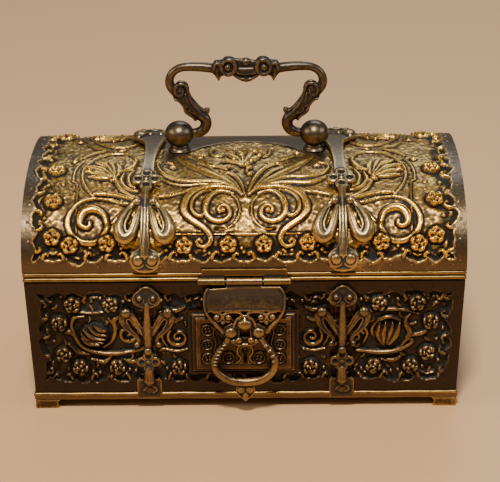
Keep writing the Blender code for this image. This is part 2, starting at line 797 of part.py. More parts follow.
# Stems and leaves of the middle field as places out from the middle and up the run, with their half-widths
LONG_STEM = ((3.6, 33.4), (11.5, 34.7), (18.6, 31.9), (21.4, 26.0), (18.9, 20.0), (13.6, 15.6))
LONG_STEM_WIDTHS = (0.8, 1.0, 1.4, 1.5, 1.2, 0.9)
FAN_STEM = ((4.0, 34.8), (12.5, 38.4), (22.0, 38.8), (29.6, 42.6), (31.6, 48.6), (27.4, 50.8))
FAN_STEM_WIDTHS = (0.8, 1.1, 1.1, 0.9, 0.8, 0.8)
FAN_LEAF = ((2.4, 34.0), (9.0, 40.6), (17.0, 47.2), (24.6, 55.2))
FAN_LEAF_WIDTHS = (0.7, 1.4, 1.5, 0.7)
SEED_STEM = ((1.9, 35.2), (4.6, 41.6), (9.6, 47.4), (13.0, 48.6))
SEED_STEM_WIDTHS = (0.8, 0.9, 0.9, 0.7)
STEM_FLATNESS = 0.85
FLOWER_PETALS = ((-6.4, 55.0), (-1.0, 60.6), (5.8, 57.0))
FLOWER_PETAL_RADIUS = 2.6 * MM
FLOWER_HEIGHT = 1.2 * MM
# Oval frame and flower of the field beside a strap, as places in from the lid's end and up the run
OVAL_STEM = ((39.0, 54.6), (33.4, 59.8), (25.3, 56.4), (20.6, 47.2), (20.9, 37.6), (25.1, 30.3))
OVAL_STEM_WIDTHS = (0.6, 0.9, 0.9, 0.9, 0.8, 0.7)
FIELD_FLOWER = (27.8, 44.8)
FIELD_FLOWER_RADII = (5.6, 4.8)
KNOB_HOLE_RADIUS = STUD_RADIUS + STUD_PLAY


def knob_places():
    return (("left", HANDLE_X - KNOB_SPREAD), ("right", HANDLE_X + KNOB_SPREAD))


def stud_holes():
    low = ARCH_SPRING
    high = ARCH_SPRING + 2 * ARCH_RISE
    return [rod((x, 0, low), (x, 0, high), KNOB_HOLE_RADIUS) for _, x in knob_places()]


def stem(places, widths, side, end=0.0):
    """Stem or leaf with a flattened back, set in the ground; end counts the places in from the lid's end."""
    points = []
    for x, run in places:
        across = end - x * MM if end else x * MM
        points.append((side * across, run * MM, 0))
    shape = tube(points, [width * MM for width in widths], detail=0)
    shape.transform(Matrix.Translation((0, 0, -GROUND_DEPTH)) @ Matrix.Diagonal((1, 1, STEM_FLATNESS, 1)))
    return cut_below(shape, -GROUND_DEPTH - ROSE_SINK)


def lid_scrollwork(half):
    """Groups of shapes for one half of the cover; those of one group don't touch each other."""
    outer_x = half - OUTER_SCROLL_FROM_END
    foot = -GROUND_DEPTH - ROSE_SINK
    x, run = FIELD_FLOWER
    flower_radii = (FIELD_FLOWER_RADII[0] * MM, FIELD_FLOWER_RADII[1] * MM, FLOWER_HEIGHT + ROSE_SINK)
    scrolls = []
    fans = []
    leaves = []
    for side in (-1, 1):
        inner = (side * CENTRE_SCROLL_X, CENTRE_SCROLL_RUN, CENTRE_SCROLL_RADIUS)
        outer = (side * outer_x, OUTER_SCROLL_RUN, OUTER_SCROLL_RADIUS)
        scrolls += [volute(*place, SCROLL_TURNS, side, SCROLL_TUBE) for place in (inner, outer)]
        scrolls.append(stem(LONG_STEM, LONG_STEM_WIDTHS, side))
        fans.append(stem(FAN_STEM, FAN_STEM_WIDTHS, side))
        fans.append(stem(OVAL_STEM, OVAL_STEM_WIDTHS, side, end=half))
        leaves.append(stem(FAN_LEAF, FAN_LEAF_WIDTHS, side))
        flower = ball((side * (half - x * MM), run * MM, foot), flower_radii, segments=8, rings=4)
        leaves.append(cut_below(flower, foot))
    seeds = [stem(SEED_STEM, SEED_STEM_WIDTHS, side) for side in (-1, 1)]
    return [scrolls, fans, leaves, seeds]


def build_lid_cover():
    """Stamped sheet over the arch: torn border, sunk ground, and roses, scrolls and leaves on both halves."""
    half = COVER_HALF_WIDTH
    corners = [(-half, 0), (half, 0), (half, ARCH_LENGTH), (-half, ARCH_LENGTH)]
    opening = inset(corners, BORDER_WIDTH)
    border = bent(plate([corners, torn_outline(opening, TEAR_PITCH_LID)], -BORDER_THICKNESS, 0))
    ground_edge = inset(corners, BORDER_WIDTH - GROUND_OVERLAP)
    ground = bent(plate([ground_edge], -PANEL_THICKNESS, -GROUND_DEPTH))
    cover = fused(border, ground)
    places = from_both_ends(half, ROSES_LID_OUTER + ROSES_LID_EDGE)
    places += [(x * MM, run * MM) for x, run in ROSES_LID_INNER]
    roses = [rose(x, run) for x, run in places]
    roses += [rose(x * MM, run * MM, FLOWER_HEIGHT, FLOWER_PETAL_RADIUS) for x, run in FLOWER_PETALS]
    turned_over = Matrix.Translation((0, ARCH_LENGTH, 0)) @ Matrix.Diagonal((1, -1, 1, 1))
    for shapes in [roses] + lid_scrollwork(half):
        copies = []
        for shape in shapes:
            copy = shape.copy()
            copy.transform(turned_over)
            copies += [bent(shape, False), bent(copy, False)]
        cover = fused(cover, joined(copies))
    cover = cut(cover, *stud_holes())
    add_part("lid_cover", moved(cover, from_lid(0, 0, 0)), BRASS_AGED, parent=LID)


def vault(half_width, height, thickness):
    """Arch with closed ends and an open underside."""
    outline = arch_outline(height)
    work = bmesh.new()
    loops = []
    for x in (-half_width, half_width):
        loops.append([work.verts.new((x, y, z)) for y, z in outline])
    for number in range(len(outline) - 1):
        work.faces.new((loops[0][number], loops[0][number + 1], loops[1][number + 1], loops[1][number]))
    work.faces.new(loops[0])
    work.faces.new(loops[1])
    bmesh.ops.recalc_face_normals(work, faces=work.faces)
    middle = work.faces[:]
    middle.sort(key=lambda face: face.calc_center_median().z)
    if middle[-1].normal.z < 0:
        bmesh.ops.reverse_faces(work, faces=work.faces)
    return shell(mesh_from_work(work), thickness)


def build_lid_shell():
    """Plain vault under the cover, its two stamped ends and its lining."""
    end_thickness = PANEL_THICKNESS
    half = COVER_HALF_WIDTH - END_INSET - end_thickness - GAP
    body = cut(vault(half, -LID_SHELL_DEPTH, SHELL_THICKNESS), *stud_holes())
    add_part("lid_shell", moved(body, from_lid(0, 0, 0)), BRASS_AGED, parent=LID)
    inner = half - SHELL_THICKNESS - GAP
    lining = cut(vault(inner, -LID_LINING_DEPTH, LINING_THICKNESS), *stud_holes())
    add_part("lid_lining", moved(lining, from_lid(0, 0, 0)), VELVET, metallic=0.0, parent=LID)
    outline = arch_outline(-COVER_DEPTH - GAP)
    corners = [(y, z - ARCH_SPRING) for y, z in reversed(outline)]
    for side, name in ((-1, "left"), (1, "right")):
        panel = turned_about(lid_end(corners), math.pi / 2, "X")
        panel = turned_about(panel, side * math.pi / 2, "Z")
        panel = moved(panel, (side * (COVER_HALF_WIDTH - END_INSET), 0, ARCH_SPRING))
        add_part(f"lid_end_{name}", moved(panel, from_lid(0, 0, 0)), BRASS_DARK, parent=LID)


def lid_end(corners):
    """Stamped end of the vault, drawn flat: a torn border follows the arch."""
    opening = inset(corners, BORDER_WIDTH)
    foot_left = opening[-1]
    foot_right = opening[0]
    arch = opening[:]
    edge = torn_run(foot_left, foot_right, TEAR_PITCH_CASE)
    lengths = [0.0]
    for start, end in zip(arch, arch[1:]):
        lengths.append(lengths[-1] + (Vector(end) - Vector(start)).length)
    count = round(lengths[-1] / TEAR_PITCH_CASE)
    for number in range(count):
        for share, depth in TEAR_SHAPE:
            travel = lengths[-1] * (number + share) / count
            index = max(i for i in range(len(arch) - 1) if lengths[i] <= travel)
            run = Vector(arch[index + 1]) - Vector(arch[index])
            place = Vector(arch[index]) + run * (travel - lengths[index]) / run.length
            inward = Vector((-run.y, run.x)).normalized()
            edge.append(tuple(place + inward * depth))
    border = plate([corners, edge], -BORDER_THICKNESS, 0)
    ground_edge = inset(corners, BORDER_WIDTH - GROUND_OVERLAP)
    ground = plate([ground_edge], -PANEL_THICKNESS, -GROUND_DEPTH)
    bosses = [bud(0, END_BUD_PLACE * MM, END_BUD_HEIGHT)]
    for x, y in mirrored_pairs(ROSES_END):
        bosses.append(rose(x, y, END_ROSE_HEIGHT, END_ROSE_RADIUS))
    return fused(fused(border, ground), joined(bosses))


def arc(centre, radius, start, end, steps):
    """Points on a round from one angle to another, in degrees."""
    points = []
    for number in range(steps + 1):
        angle = math.radians(start + (end - start) * number / steps)
        points.append((centre[0] + radius * math.cos(angle), centre[1] + radius * math.sin(angle)))
    return points


def in_millimetres(points):
    return [tuple(value * MM for value in point) for point in points]


def wing(points, radii, side, level):
    """Looped wing of a strap, as a tapering rod that lies on it."""
    path = [(side * x * MM, y * MM, level) for x, y in points]
    return tube(path, [radius * MM for radius in radii], detail=0)


CASE_WING = (
    (3.4, 21.2), (2.7, 22.6), (5.2, 25.6), (8.0, 29.0), (8.6, 32.4), (6.2, 33.0), (3.6, 28.8), (1.4, 25.0),
)
CASE_WING_RADII = (1.1, 0.8, 0.9, 1.0, 1.5, 1.5, 1.0, 0.8)
LID_WING = (
    (1.7, 28.4), (3.4, 27.6), (6.2, 23.4), (8.7, 18.0), (8.8, 14.0), (6.0, 13.2), (3.7, 17.2), (2.2, 23.2),
    (1.0, 26.4),
)
LID_WING_RADII = (0.8, 0.9, 0.9, 1.1, 1.5, 1.4, 0.9, 0.8, 0.7)


def shield(centre_y, up, half_width):
    """Rounded foot of a strap, pointed on its outer side."""
    points = []
    for x, y in ((0, 3.7), (2.3, 2.6), (4.2, 0.4), (4.8, -1.4), (3.6, -3.2), (1.1, -3.6)):
        points.append((x / 4.8 * half_width, centre_y + up * y * MM))
    return points + [(-x, y) for x, y in reversed(points[1:])]


def quatrefoil(centre_y, level, thickness):
    """Four round lobes set about the stalk."""
    lobes = []
    for number in range(4):
        angle = math.pi / 2 * number
        x = LOBE_SPREAD * math.cos(angle)
        y = centre_y + LOBE_SPREAD * math.sin(angle)
        lobes.append(rod((x, y, level), (x, y, level + thickness), LOBE_RADIUS, LOBE_RADIUS * 0.75, sides=6))
    return lobes


CASE_STALK = ((1.1, 33.0), (2.2, 27.0), (1.4, 21.0), (1.1, 9.6), (1.6, 6.6), (4.6, 5.4), (4.6, 0.2))
LID_STALK = ((1.1, 9.4), (1.1, 38.0), (1.7, 44.0), (2.4, 58.0))
# Edges of the strap's broad head over the crown, outer and inner, from its front end to its back end
CROWN_OUTER = (
    (1.8, 46.0), (1.9, 60.0), (2.4, 68.0), (6.2, 72.5), (7.1, 76.0), (7.1, 82.0), (5.6, 86.0), (1.8, 92.0),
)
CROWN_INNER = (
    (1.6, 46.0), (2.7, 55.0), (3.4, 60.0), (4.5, 67.0), (5.2, 72.0), (5.4, 80.0), (4.4, 86.0), (1.6, 92.0),
)
CROWN_BOSS = (4.6, 79.0)
CROWN_BOSS_RADII = (2.6, 4.8, 1.3)


def strap_outline(head, stalk):
    """The shield's outline with the stalk set in where the shield's own half ends."""
    half = len(head) // 2 + 1
    return head[:half] + stalk + [(-x, y) for x, y in reversed(stalk)] + head[half:]


def case_strap():
    """Cast strap of the case: shield, stalk, two wings, quatrefoil and foot plate."""
    low = STRAP_CLEARANCE
    high = low + STRAP_THICKNESS
    head = shield(39.0 * MM, 1, SHIELD_HALF_WIDTH)
    stalk = in_millimetres(CASE_STALK)
    strap = plate([strap_outline(head, stalk)], low, high)
    for side in (-1, 1):
        level = low + WING_TUBE
        strap = fused(strap, wing(CASE_WING, CASE_WING_RADII, side, level))
        boss = (side * 2.3 * MM, 38.0 * MM, high - 0.2 * MM)
        strap = fused(strap, ball(boss, (BOSS_RADIUS, BOSS_RADIUS, 1.3 * MM), 6, 4))
        knob = (side * 7.6 * MM, 33.8 * MM, high - 0.1 * MM)
        strap = fused(strap, ball(knob, (1.9 * MM, 1.9 * MM, 1.5 * MM), 6, 4))
    return fused(strap, *quatrefoil(13.4 * MM, low + 0.03 * MM, STRAP_THICKNESS * 1.3))


def build_case_straps():
    for side in ("front", "back"):
        for sign, name in ((-1, "left"), (1, "right")):
            strap = moved(case_strap(), (sign * STRAP_X, 0, 0))
            if side == "back":
                strap = moved(strap, (-2 * sign * STRAP_X, 0, 0))
            add_on_wall(f"case_strap_{side}_{name}", strap, side, BRASS_AGED)


def lid_strap_front():
    """Front half of a lid strap, from its foot to the crown, bent over the arch."""
    low = STRAP_CLEARANCE
    high = low + STRAP_THICKNESS
    head = shield(5.4 * MM, -1, SHIELD_HALF_WIDTH)
    stalk = in_millimetres(LID_STALK) + [(LID_STALK[-1][0] * MM, ARCH_LENGTH / 2 + 0.5 * MM)]
    half = bent(plate([strap_outline(head, stalk)], low, high))
    extras = quatrefoil(40.5 * MM, low + 0.03 * MM, STRAP_THICKNESS * 1.4)
    for side in (-1, 1):
        extras.append(wing(LID_WING, LID_WING_RADII, side, low + WING_TUBE))
        boss = (side * 2.4 * MM, 5.6 * MM, high)
        extras.append(ball(boss, (BOSS_RADIUS, BOSS_RADIUS, BOSS_HEIGHT), 6, 4))
    return fused(half, *[bent(extra, False) for extra in extras])


def crown_head(side):
    """Broad smooth head of a lid strap over the crown, with a round boss at its outer corner."""
    outer = [(side * x * MM, y * MM) for x, y in CROWN_OUTER]
    inner = [(-side * x * MM, y * MM) for x, y in reversed(CROWN_INNER)]
    outline = outer + inner
    low = STRAP_CLEARANCE + 0.04 * MM
    head = bent(plate([outline if side > 0 else list(reversed(outline))], low, CROWN_THICKNESS))
    place = (side * CROWN_BOSS[0] * MM, CROWN_BOSS[1] * MM, CROWN_THICKNESS - 0.2 * MM)
    boss = ball(place, in_millimetres([CROWN_BOSS_RADII])[0], 8, 5)
    return fused(head, bent(boss, False))


def build_lid_straps():
    """Each strap runs over the crown, with the same fine work on the front and on the back."""
    for sign, name in ((-1, "left"), (1, "right")):
        half = lid_strap_front()
        other = half.copy()
        other.transform(Matrix.Diagonal((1, -1, 1, 1)))
        strap = fused(half, weld(other), crown_head(sign))
        strap = moved(strap, from_lid(sign * STRAP_X, 0, 0))
        add_part(f"lid_strap_{name}", strap, BRASS_AGED, parent=LID)


def build_knobs():
    """Ball knobs on studs that pass through the lid and are held by nuts inside it."""
    crown = ARCH_SPRING + ARCH_RISE
    seat = crown - GROUND_DEPTH + GAP
    centre = seat + KNOB_FLANGE_HEIGHT + KNOB_NECK_HEIGHT + KNOB_HALF_HEIGHT - 0.4 * MM
    nut_top = crown - LID_LINING_DEPTH - LINING_THICKNESS - GAP
    for (name, x), inner in zip(knob_places(), (1, -1)):
        profile = [(0, centre + KNOB_HALF_HEIGHT)]
        for number in range(1, 8):
            angle = math.radians(90 - number * 20)
            profile.append((KNOB_RADIUS * math.cos(angle), centre + KNOB_HALF_HEIGHT * math.sin(angle)))
        neck_top = centre - KNOB_HALF_HEIGHT * 0.86
        profile += [
            (KNOB_NECK_RADIUS, neck_top),
            (KNOB_NECK_RADIUS * 0.92, (neck_top + seat) / 2),
            (KNOB_FLANGE_RADIUS, seat + KNOB_FLANGE_HEIGHT),
            (KNOB_FLANGE_RADIUS, seat),
            (STUD_RADIUS, seat),
            (STUD_RADIUS, nut_top - NUT_HEIGHT - 0.6 * MM),
            (0, nut_top - NUT_HEIGHT - 0.6 * MM),
        ]
        knob = moved(turned(profile), (x, 0, 0))
        depth = KNOB_RADIUS - PIVOT_LENGTH - 0.9 * MM
        start = (x + inner * depth, 0, centre)
        bore = rod(start, (x + inner * 2 * KNOB_RADIUS, 0, centre), PIVOT_RADIUS + PIVOT_PLAY)
        knob = moved(cut(knob, bore), from_lid(0, 0, 0))
        add_part(f"handle_knob_{name}", knob, BRASS_BROWN, parent=LID)
        nut = rod((x, 0, nut_top - NUT_HEIGHT), (x, 0, nut_top), NUT_RADIUS, sides=6)
        thread_radius = STUD_RADIUS + THREAD_PLAY
        thread = rod((x, 0, nut_top - 2 * NUT_HEIGHT), (x, 0, nut_top + NUT_HEIGHT), thread_radius)
        nut = moved(cut(nut, thread), from_lid(0, 0, 0))
        add_part(f"knob_nut_{name}", nut, BRASS_AGED, parent=LID)
    return centre


# Places along the bail's arm: the way across, the rise above the pivot and the radius there.
# The first run counts from the knob's inner face, the second from the outer reach, the last from the middle.
BAIL_FOOT = (
    (-0.5, 0.0, 1.35), (-1.9, 0.9, 1.45), (-3.3, 2.7, 1.55), (-3.8, 4.9, 1.6),
    (-3.0, 7.3, 1.75), (-1.1, 9.5, 2.0), (0.9, 11.7, 2.1),
)
BAIL_BEND = (
    (-5.6, 13.3, 2.0), (-3.2, 14.8, 1.9), (-1.0, 16.9, 1.8),
    (0.0, 19.9, 1.75), (-0.9, 23.0, 1.75), (-3.1, 25.2, 1.75),
)
BAIL_BAR = (
    (22.0, 26.1, 1.75), (18.0, 26.1, 1.75), (14.2, 25.6, 1.8), (11.2, 25.1, 2.1),
    (8.0, 25.0, 2.3), (4.0, 24.6, 2.2), (0.0, 24.2, 2.3),
)
BAIL_DRAWN_RISE = 26.1 * MM
BAIL_DRAWN_TUBE = 1.75 * MM


def build_bail(centre_z):
    """Cast bail: plain bar and bends, a leafy section with a scroll on each arm and scrolls in the middle."""
    rise = BAIL_RISE / BAIL_DRAWN_RISE * MM
    thick = BAIL_TUBE / BAIL_DRAWN_TUBE * MM
    face = KNOB_SPREAD - KNOB_RADIUS
    half = []
    for start, places in ((face, BAIL_FOOT), (BAIL_REACH, BAIL_BEND), (0.0, BAIL_BAR)):
        half += [(start + x * MM, 0.0, z * rise, radius * thick) for x, z, radius in places]
    path = half + [(-x, y, z, radius) for x, y, z, radius in reversed(half[:-1])]
    bail = tube([place[:3] for place in path], [place[3] for place in path], detail=1)
    for side in (-1, 1):
        start = face + PIVOT_LENGTH
        inner = face - 1.2 * MM
        pin = rod((side * inner, 0, 0), (side * start, 0, 0), PIVOT_RADIUS, sides=10)
        scroll = ball((side * 24.0 * MM, 0, 17.6 * MM), (2.6 * MM, 2.0 * MM, 2.5 * MM), 8, 5)
        leaf = rod((side * 17.0 * MM, 0, 7.6 * MM), (side * 13.6 * MM, 0, 10.2 * MM), 1.5 * MM, 0.6 * MM, 8)
        drop = rod((side * 19.2 * MM, 0, 9.6 * MM), (side * 18.5 * MM, 0, 7.2 * MM), 1.1 * MM, 0.5 * MM, 8)
        spike = rod((side * 9.4 * MM, 0, 25.0 * MM), (side * 9.5 * MM, 0, 20.6 * MM), 1.9 * MM, 0.15 * MM, 8)
        volute_head = ball((side * 5.4 * MM, 0, 26.6 * MM), (2.8 * MM, 2.3 * MM, 2.9 * MM), 8, 5)
        bail = fused(bail, pin, scroll, leaf, drop, spike, volute_head)
    top = ball((0, 0, 27.2 * MM), (2.0 * MM, 1.9 * MM, 2.1 * MM), 8, 6)
    lobe = ball((0, 0, 22.2 * MM), (2.3 * MM, 1.8 * MM, 2.2 * MM), 8, 6)
    bail = fused(bail, top, lobe)
    frame = add_frame("bail_frame", from_lid(HANDLE_X, 0, centre_z), LID)
    add_part("bail", bail, BRASS_BROWN, parent=frame)


def knuckles(spans, radius, bore):
    """Hollow barrels along X, one for each span."""
    barrels = []
    for start, end in spans:
        barrels.append(rod((start, 0, 0), (end, 0, 0), radius, sides=12))
    hole = rod((spans[0][0] - 1 * MM, 0, 0), (spans[-1][1] + 1 * MM, 0, 0), bore, sides=12)
    return barrels, hole


def hinge_leaf(low, high, notch, outer_notch):
    """Outline of a leaf: a rectangle whose one edge steps back where the other leaf's barrels run."""
    half = HINGE_WIDTH / 2 - LEAF_INSET
    middle = HINGE_MIDDLE / 2 + LEAF_INSET
    if outer_notch:
        inner = middle - GAP - 2 * LEAF_INSET
        foot = [(-half, notch), (-inner, notch), (-inner, low), (inner, low), (inner, notch), (half, notch)]
        return foot + [(half, high), (-half, high)]
    head = [(half, high), (middle, high), (middle, notch), (-middle, notch), (-middle, high), (-half, high)]
    return [(-half, low), (half, low)] + head


def build_rear_hinges():
    """Two barrel hinges on the back, each with two leaves and a pin."""
    half = HINGE_WIDTH / 2
    middle = HINGE_MIDDLE / 2
    leaf_y = RIM_HALF_DEPTH + GAP
    clear = KNUCKLE_RADIUS + GAP
    for sign, name in ((-1, "left"), (1, "right")):
        x = sign * HINGE_X
        outline = hinge_leaf(-clear - LEAF_HEIGHT, -0.2 * MM, -clear, False)
        leaf = turned_about(plate([outline], 0, LEAF_THICKNESS), math.pi / 2, "X")
        leaf = moved(leaf, (0, leaf_y - HINGE_Y + LEAF_THICKNESS, 0))
        barrels, hole = knuckles([(-half, -middle), (middle, half)], KNUCKLE_RADIUS, PIN_RADIUS + PIN_PLAY)
        leaf = cut(fused(leaf, *barrels), hole)
        leaf = moved(leaf, (x, HINGE_Y, HINGE_Z))
        add_part(f"hinge_case_leaf_{name}", leaf, BRASS_AGED, parent=CASE)
        outline = hinge_leaf(0.2 * MM, clear + LEAF_HEIGHT, clear, True)
        leaf = turned_about(plate([outline], 0, LEAF_THICKNESS), math.pi / 2, "X")
        leaf = moved(leaf, (0, leaf_y - HINGE_Y + LEAF_THICKNESS, 0))
        barrels, hole = knuckles([(-middle + GAP, middle - GAP)], KNUCKLE_RADIUS, PIN_RADIUS + PIN_PLAY)
        leaf = cut(fused(leaf, *barrels), hole)
        add_part(f"hinge_lid_leaf_{name}", moved(leaf, (x, 0, 0)), BRASS_AGED, parent=LID)
        pin = rod((x - half, HINGE_Y, HINGE_Z), (x + half, HINGE_Y, HINGE_Z), PIN_RADIUS, sides=12)
        add_part(f"hinge_pin_{name}", pin, STEEL_DARK, parent=CASE)


def hasp_back(y):
    """How far the hasp's back stands in front of its hinge axis, at a height below it."""
    lock_face = -front_y(HASP_Z + y, LOCK_PROUD + HASP_CLEARANCE) + HASP_Y
    start = -0.2 * MM
    share = min(max((-y - 2.0 * MM) / (9.0 * MM), 0.0), 1.0)
    ease = share * share * (3 - 2 * share)
    return start + (lock_face - start) * ease


# Right half of the hasp, as places across it and below its hinge
HASP_EDGE = (
    (13.4, -1.9), (14.3, -3.4), (14.8, -7.0), (14.2, -10.6), (12.4, -13.6),
    (9.8, -16.6), (7.8, -19.4), (7.2, -21.4), (7.4, -23.4),
)
HASP_OPENINGS = (
    ((11.6, -12.9), (9.2, -11.6), (6.9, -13.1), (7.2, -15.0), (9.4, -15.6)),
    ((5.6, -12.6), (3.4, -11.4), (1.6, -12.4), (2.8, -14.4), (4.6, -16.4), (5.7, -14.8)),
)
RING_SIDE = (
    (5.9, -22.0), (7.4, -24.2), (9.4, -27.0), (10.8, -30.4),
    (10.6, -33.8), (8.6, -36.6), (5.2, -38.6), (1.6, -39.5),
)
RING_TOP = ((-5.9, -22.0), (-3.4, -24.4), (0.0, -25.2), (3.4, -24.4), (5.9, -22.0))
HASP_BENDS = 5
HASP_BEND_STEP = 1.9 * MM


def hasp_plate_outline():
    """Edge of the hasp plate, both halves, counter-clockwise."""
    left = [(-x, y) for x, y in reversed(HASP_EDGE)]
    return in_millimetres(list(reversed(left + list(HASP_EDGE))))


def build_hasp():
    """Hinged hasp: plate with scroll-cut openings, pear ring and heart-shaped drop, all one casting."""
    openings = []
    for side in (-1, 1):
        for opening in HASP_OPENINGS:
            openings.append([(side * x * MM, y * MM) for x, y in opening])
    body = plate([hasp_plate_outline()] + openings, 0, HASP_THICKNESS)
    work = bmesh.new()
    work.from_mesh(body)
    for number in range(1, HASP_BENDS + 1):
        cut_y = HASP_EDGE[0][1] * MM - number * HASP_BEND_STEP
        everything = work.verts[:] + work.edges[:] + work.faces[:]
        bmesh.ops.bisect_plane(work, geom=everything, plane_co=(0, cut_y, 0), plane_no=(0, 1, 0), dist=WELD)
    for vert in work.verts:
        x, y, z = vert.co
        vert.co = (x, -(hasp_back(y) + z), y)
    bmesh.ops.recalc_face_normals(work, faces=work.faces)
    work.to_mesh(body)
    work.free()
    front_waist = hasp_back(-24 * MM) + RING_TUBE
    ring_half = [(x * MM, -(hasp_back(y * MM) + RING_TUBE), y * MM) for x, y in RING_SIDE]
    ring = ring_half + [(-x, y, z) for x, y, z in reversed(ring_half)]
    neck = [(-x * MM, -front_waist, y * MM) for x, y in RING_TOP]
    radii = [1.3 * MM] * len(ring)
    body = fused(body, tube(ring, radii, detail=1), tube(neck, 1.15 * MM, detail=0))
    level = -(hasp_back(HASP_WAIST) + HASP_THICKNESS + ACORN_LIFT)
    body = fused(body, ball((0, level, -16.4 * MM), (2.6 * MM, ACORN_DEPTH, 3.1 * MM), 8, 6))
    for side in (-1, 1):
        shoulder = (side * 5.0 * MM, level, -19.4 * MM)
        body = fused(body, ball(shoulder, (2.4 * MM, 1.4 * MM, 2.3 * MM), 6, 4))
        bead = (side * 2.2 * MM, level + 0.1 * MM, -22.9 * MM)
        body = fused(body, ball(bead, (1.6 * MM, 1.2 * MM, 1.6 * MM), 6, 4))
    drop_y = -(hasp_back(-42 * MM) + RING_TUBE)
    for side in (-1, 1):
        body = fused(body, ball((side * 1.35 * MM, drop_y, -42.2 * MM), (1.9 * MM, 1.2 * MM, 2.0 * MM), 6, 4))
    body = fused(body, rod((0, drop_y, -42.0 * MM), (0, drop_y, -47.4 * MM), 2.3 * MM, 0.5 * MM, 8))
    middle = HASP_MIDDLE / 2 - GAP
    bridge = block((-middle, -0.9 * MM, -3.0 * MM), (middle, 0.3 * MM, -0.6 * MM))
    barrels, hole = knuckles([(-middle, middle)], HASP_BARREL_RADIUS, PIN_RADIUS + PIN_PLAY)
    body = cut(fused(body, bridge, *barrels), hole)
    add_part("hasp", body, BRASS_AGED, parent=HASP)


def build_hasp_hinge():
    """Leaf on the lid that carries the hasp's pin."""
    half = HASP_BARREL_WIDTH / 2
    middle = HASP_MIDDLE / 2
    inner = middle + LEAF_INSET
    leaf_half = HASP_LEAF_WIDTH / 2
    clear = HASP_BARREL_RADIUS + GAP
    top = HASP_BARREL_RADIUS + HASP_LEAF_HEIGHT
    outline = [
        (-leaf_half, 0.2 * MM), (-inner, 0.2 * MM), (-inner, clear), (inner, clear),
        (inner, 0.2 * MM), (leaf_half, 0.2 * MM), (leaf_half, top), (-leaf_half, top),
    ]
    leaf = turned_about(plate([outline], 0, LEAF_THICKNESS), math.pi / 2, "X")
    leaf = moved(leaf, (0, -RIM_HALF_DEPTH - GAP - HASP_Y, 0))
    barrels, hole = knuckles([(-half, -middle), (middle, half)], HASP_BARREL_RADIUS, PIN_RADIUS + PIN_PLAY)
    leaf = cut(fused(leaf, *barrels), hole)
    leaf = moved(leaf, (0, HASP_Y, HASP_Z))
    add_part("hasp_hinge_leaf", moved(leaf, from_lid(0, 0, 0)), BRASS_BRIGHT, parent=LID)
    pin = rod((-half, HASP_Y, HASP_Z), (half, HASP_Y, HASP_Z), PIN_RADIUS, sides=12)
    add_part("hasp_hinge_pin", moved(pin, from_lid(0, 0, 0)), STEEL_DARK, parent=LID)


def rectangle(half_x, half_y, centre=(0, 0)):
    x, y = centre
    low = [(x - half_x, y - half_y), (x + half_x, y - half_y)]
    return low + [(x + half_x, y + half_y), (x - half_x, y + half_y)]


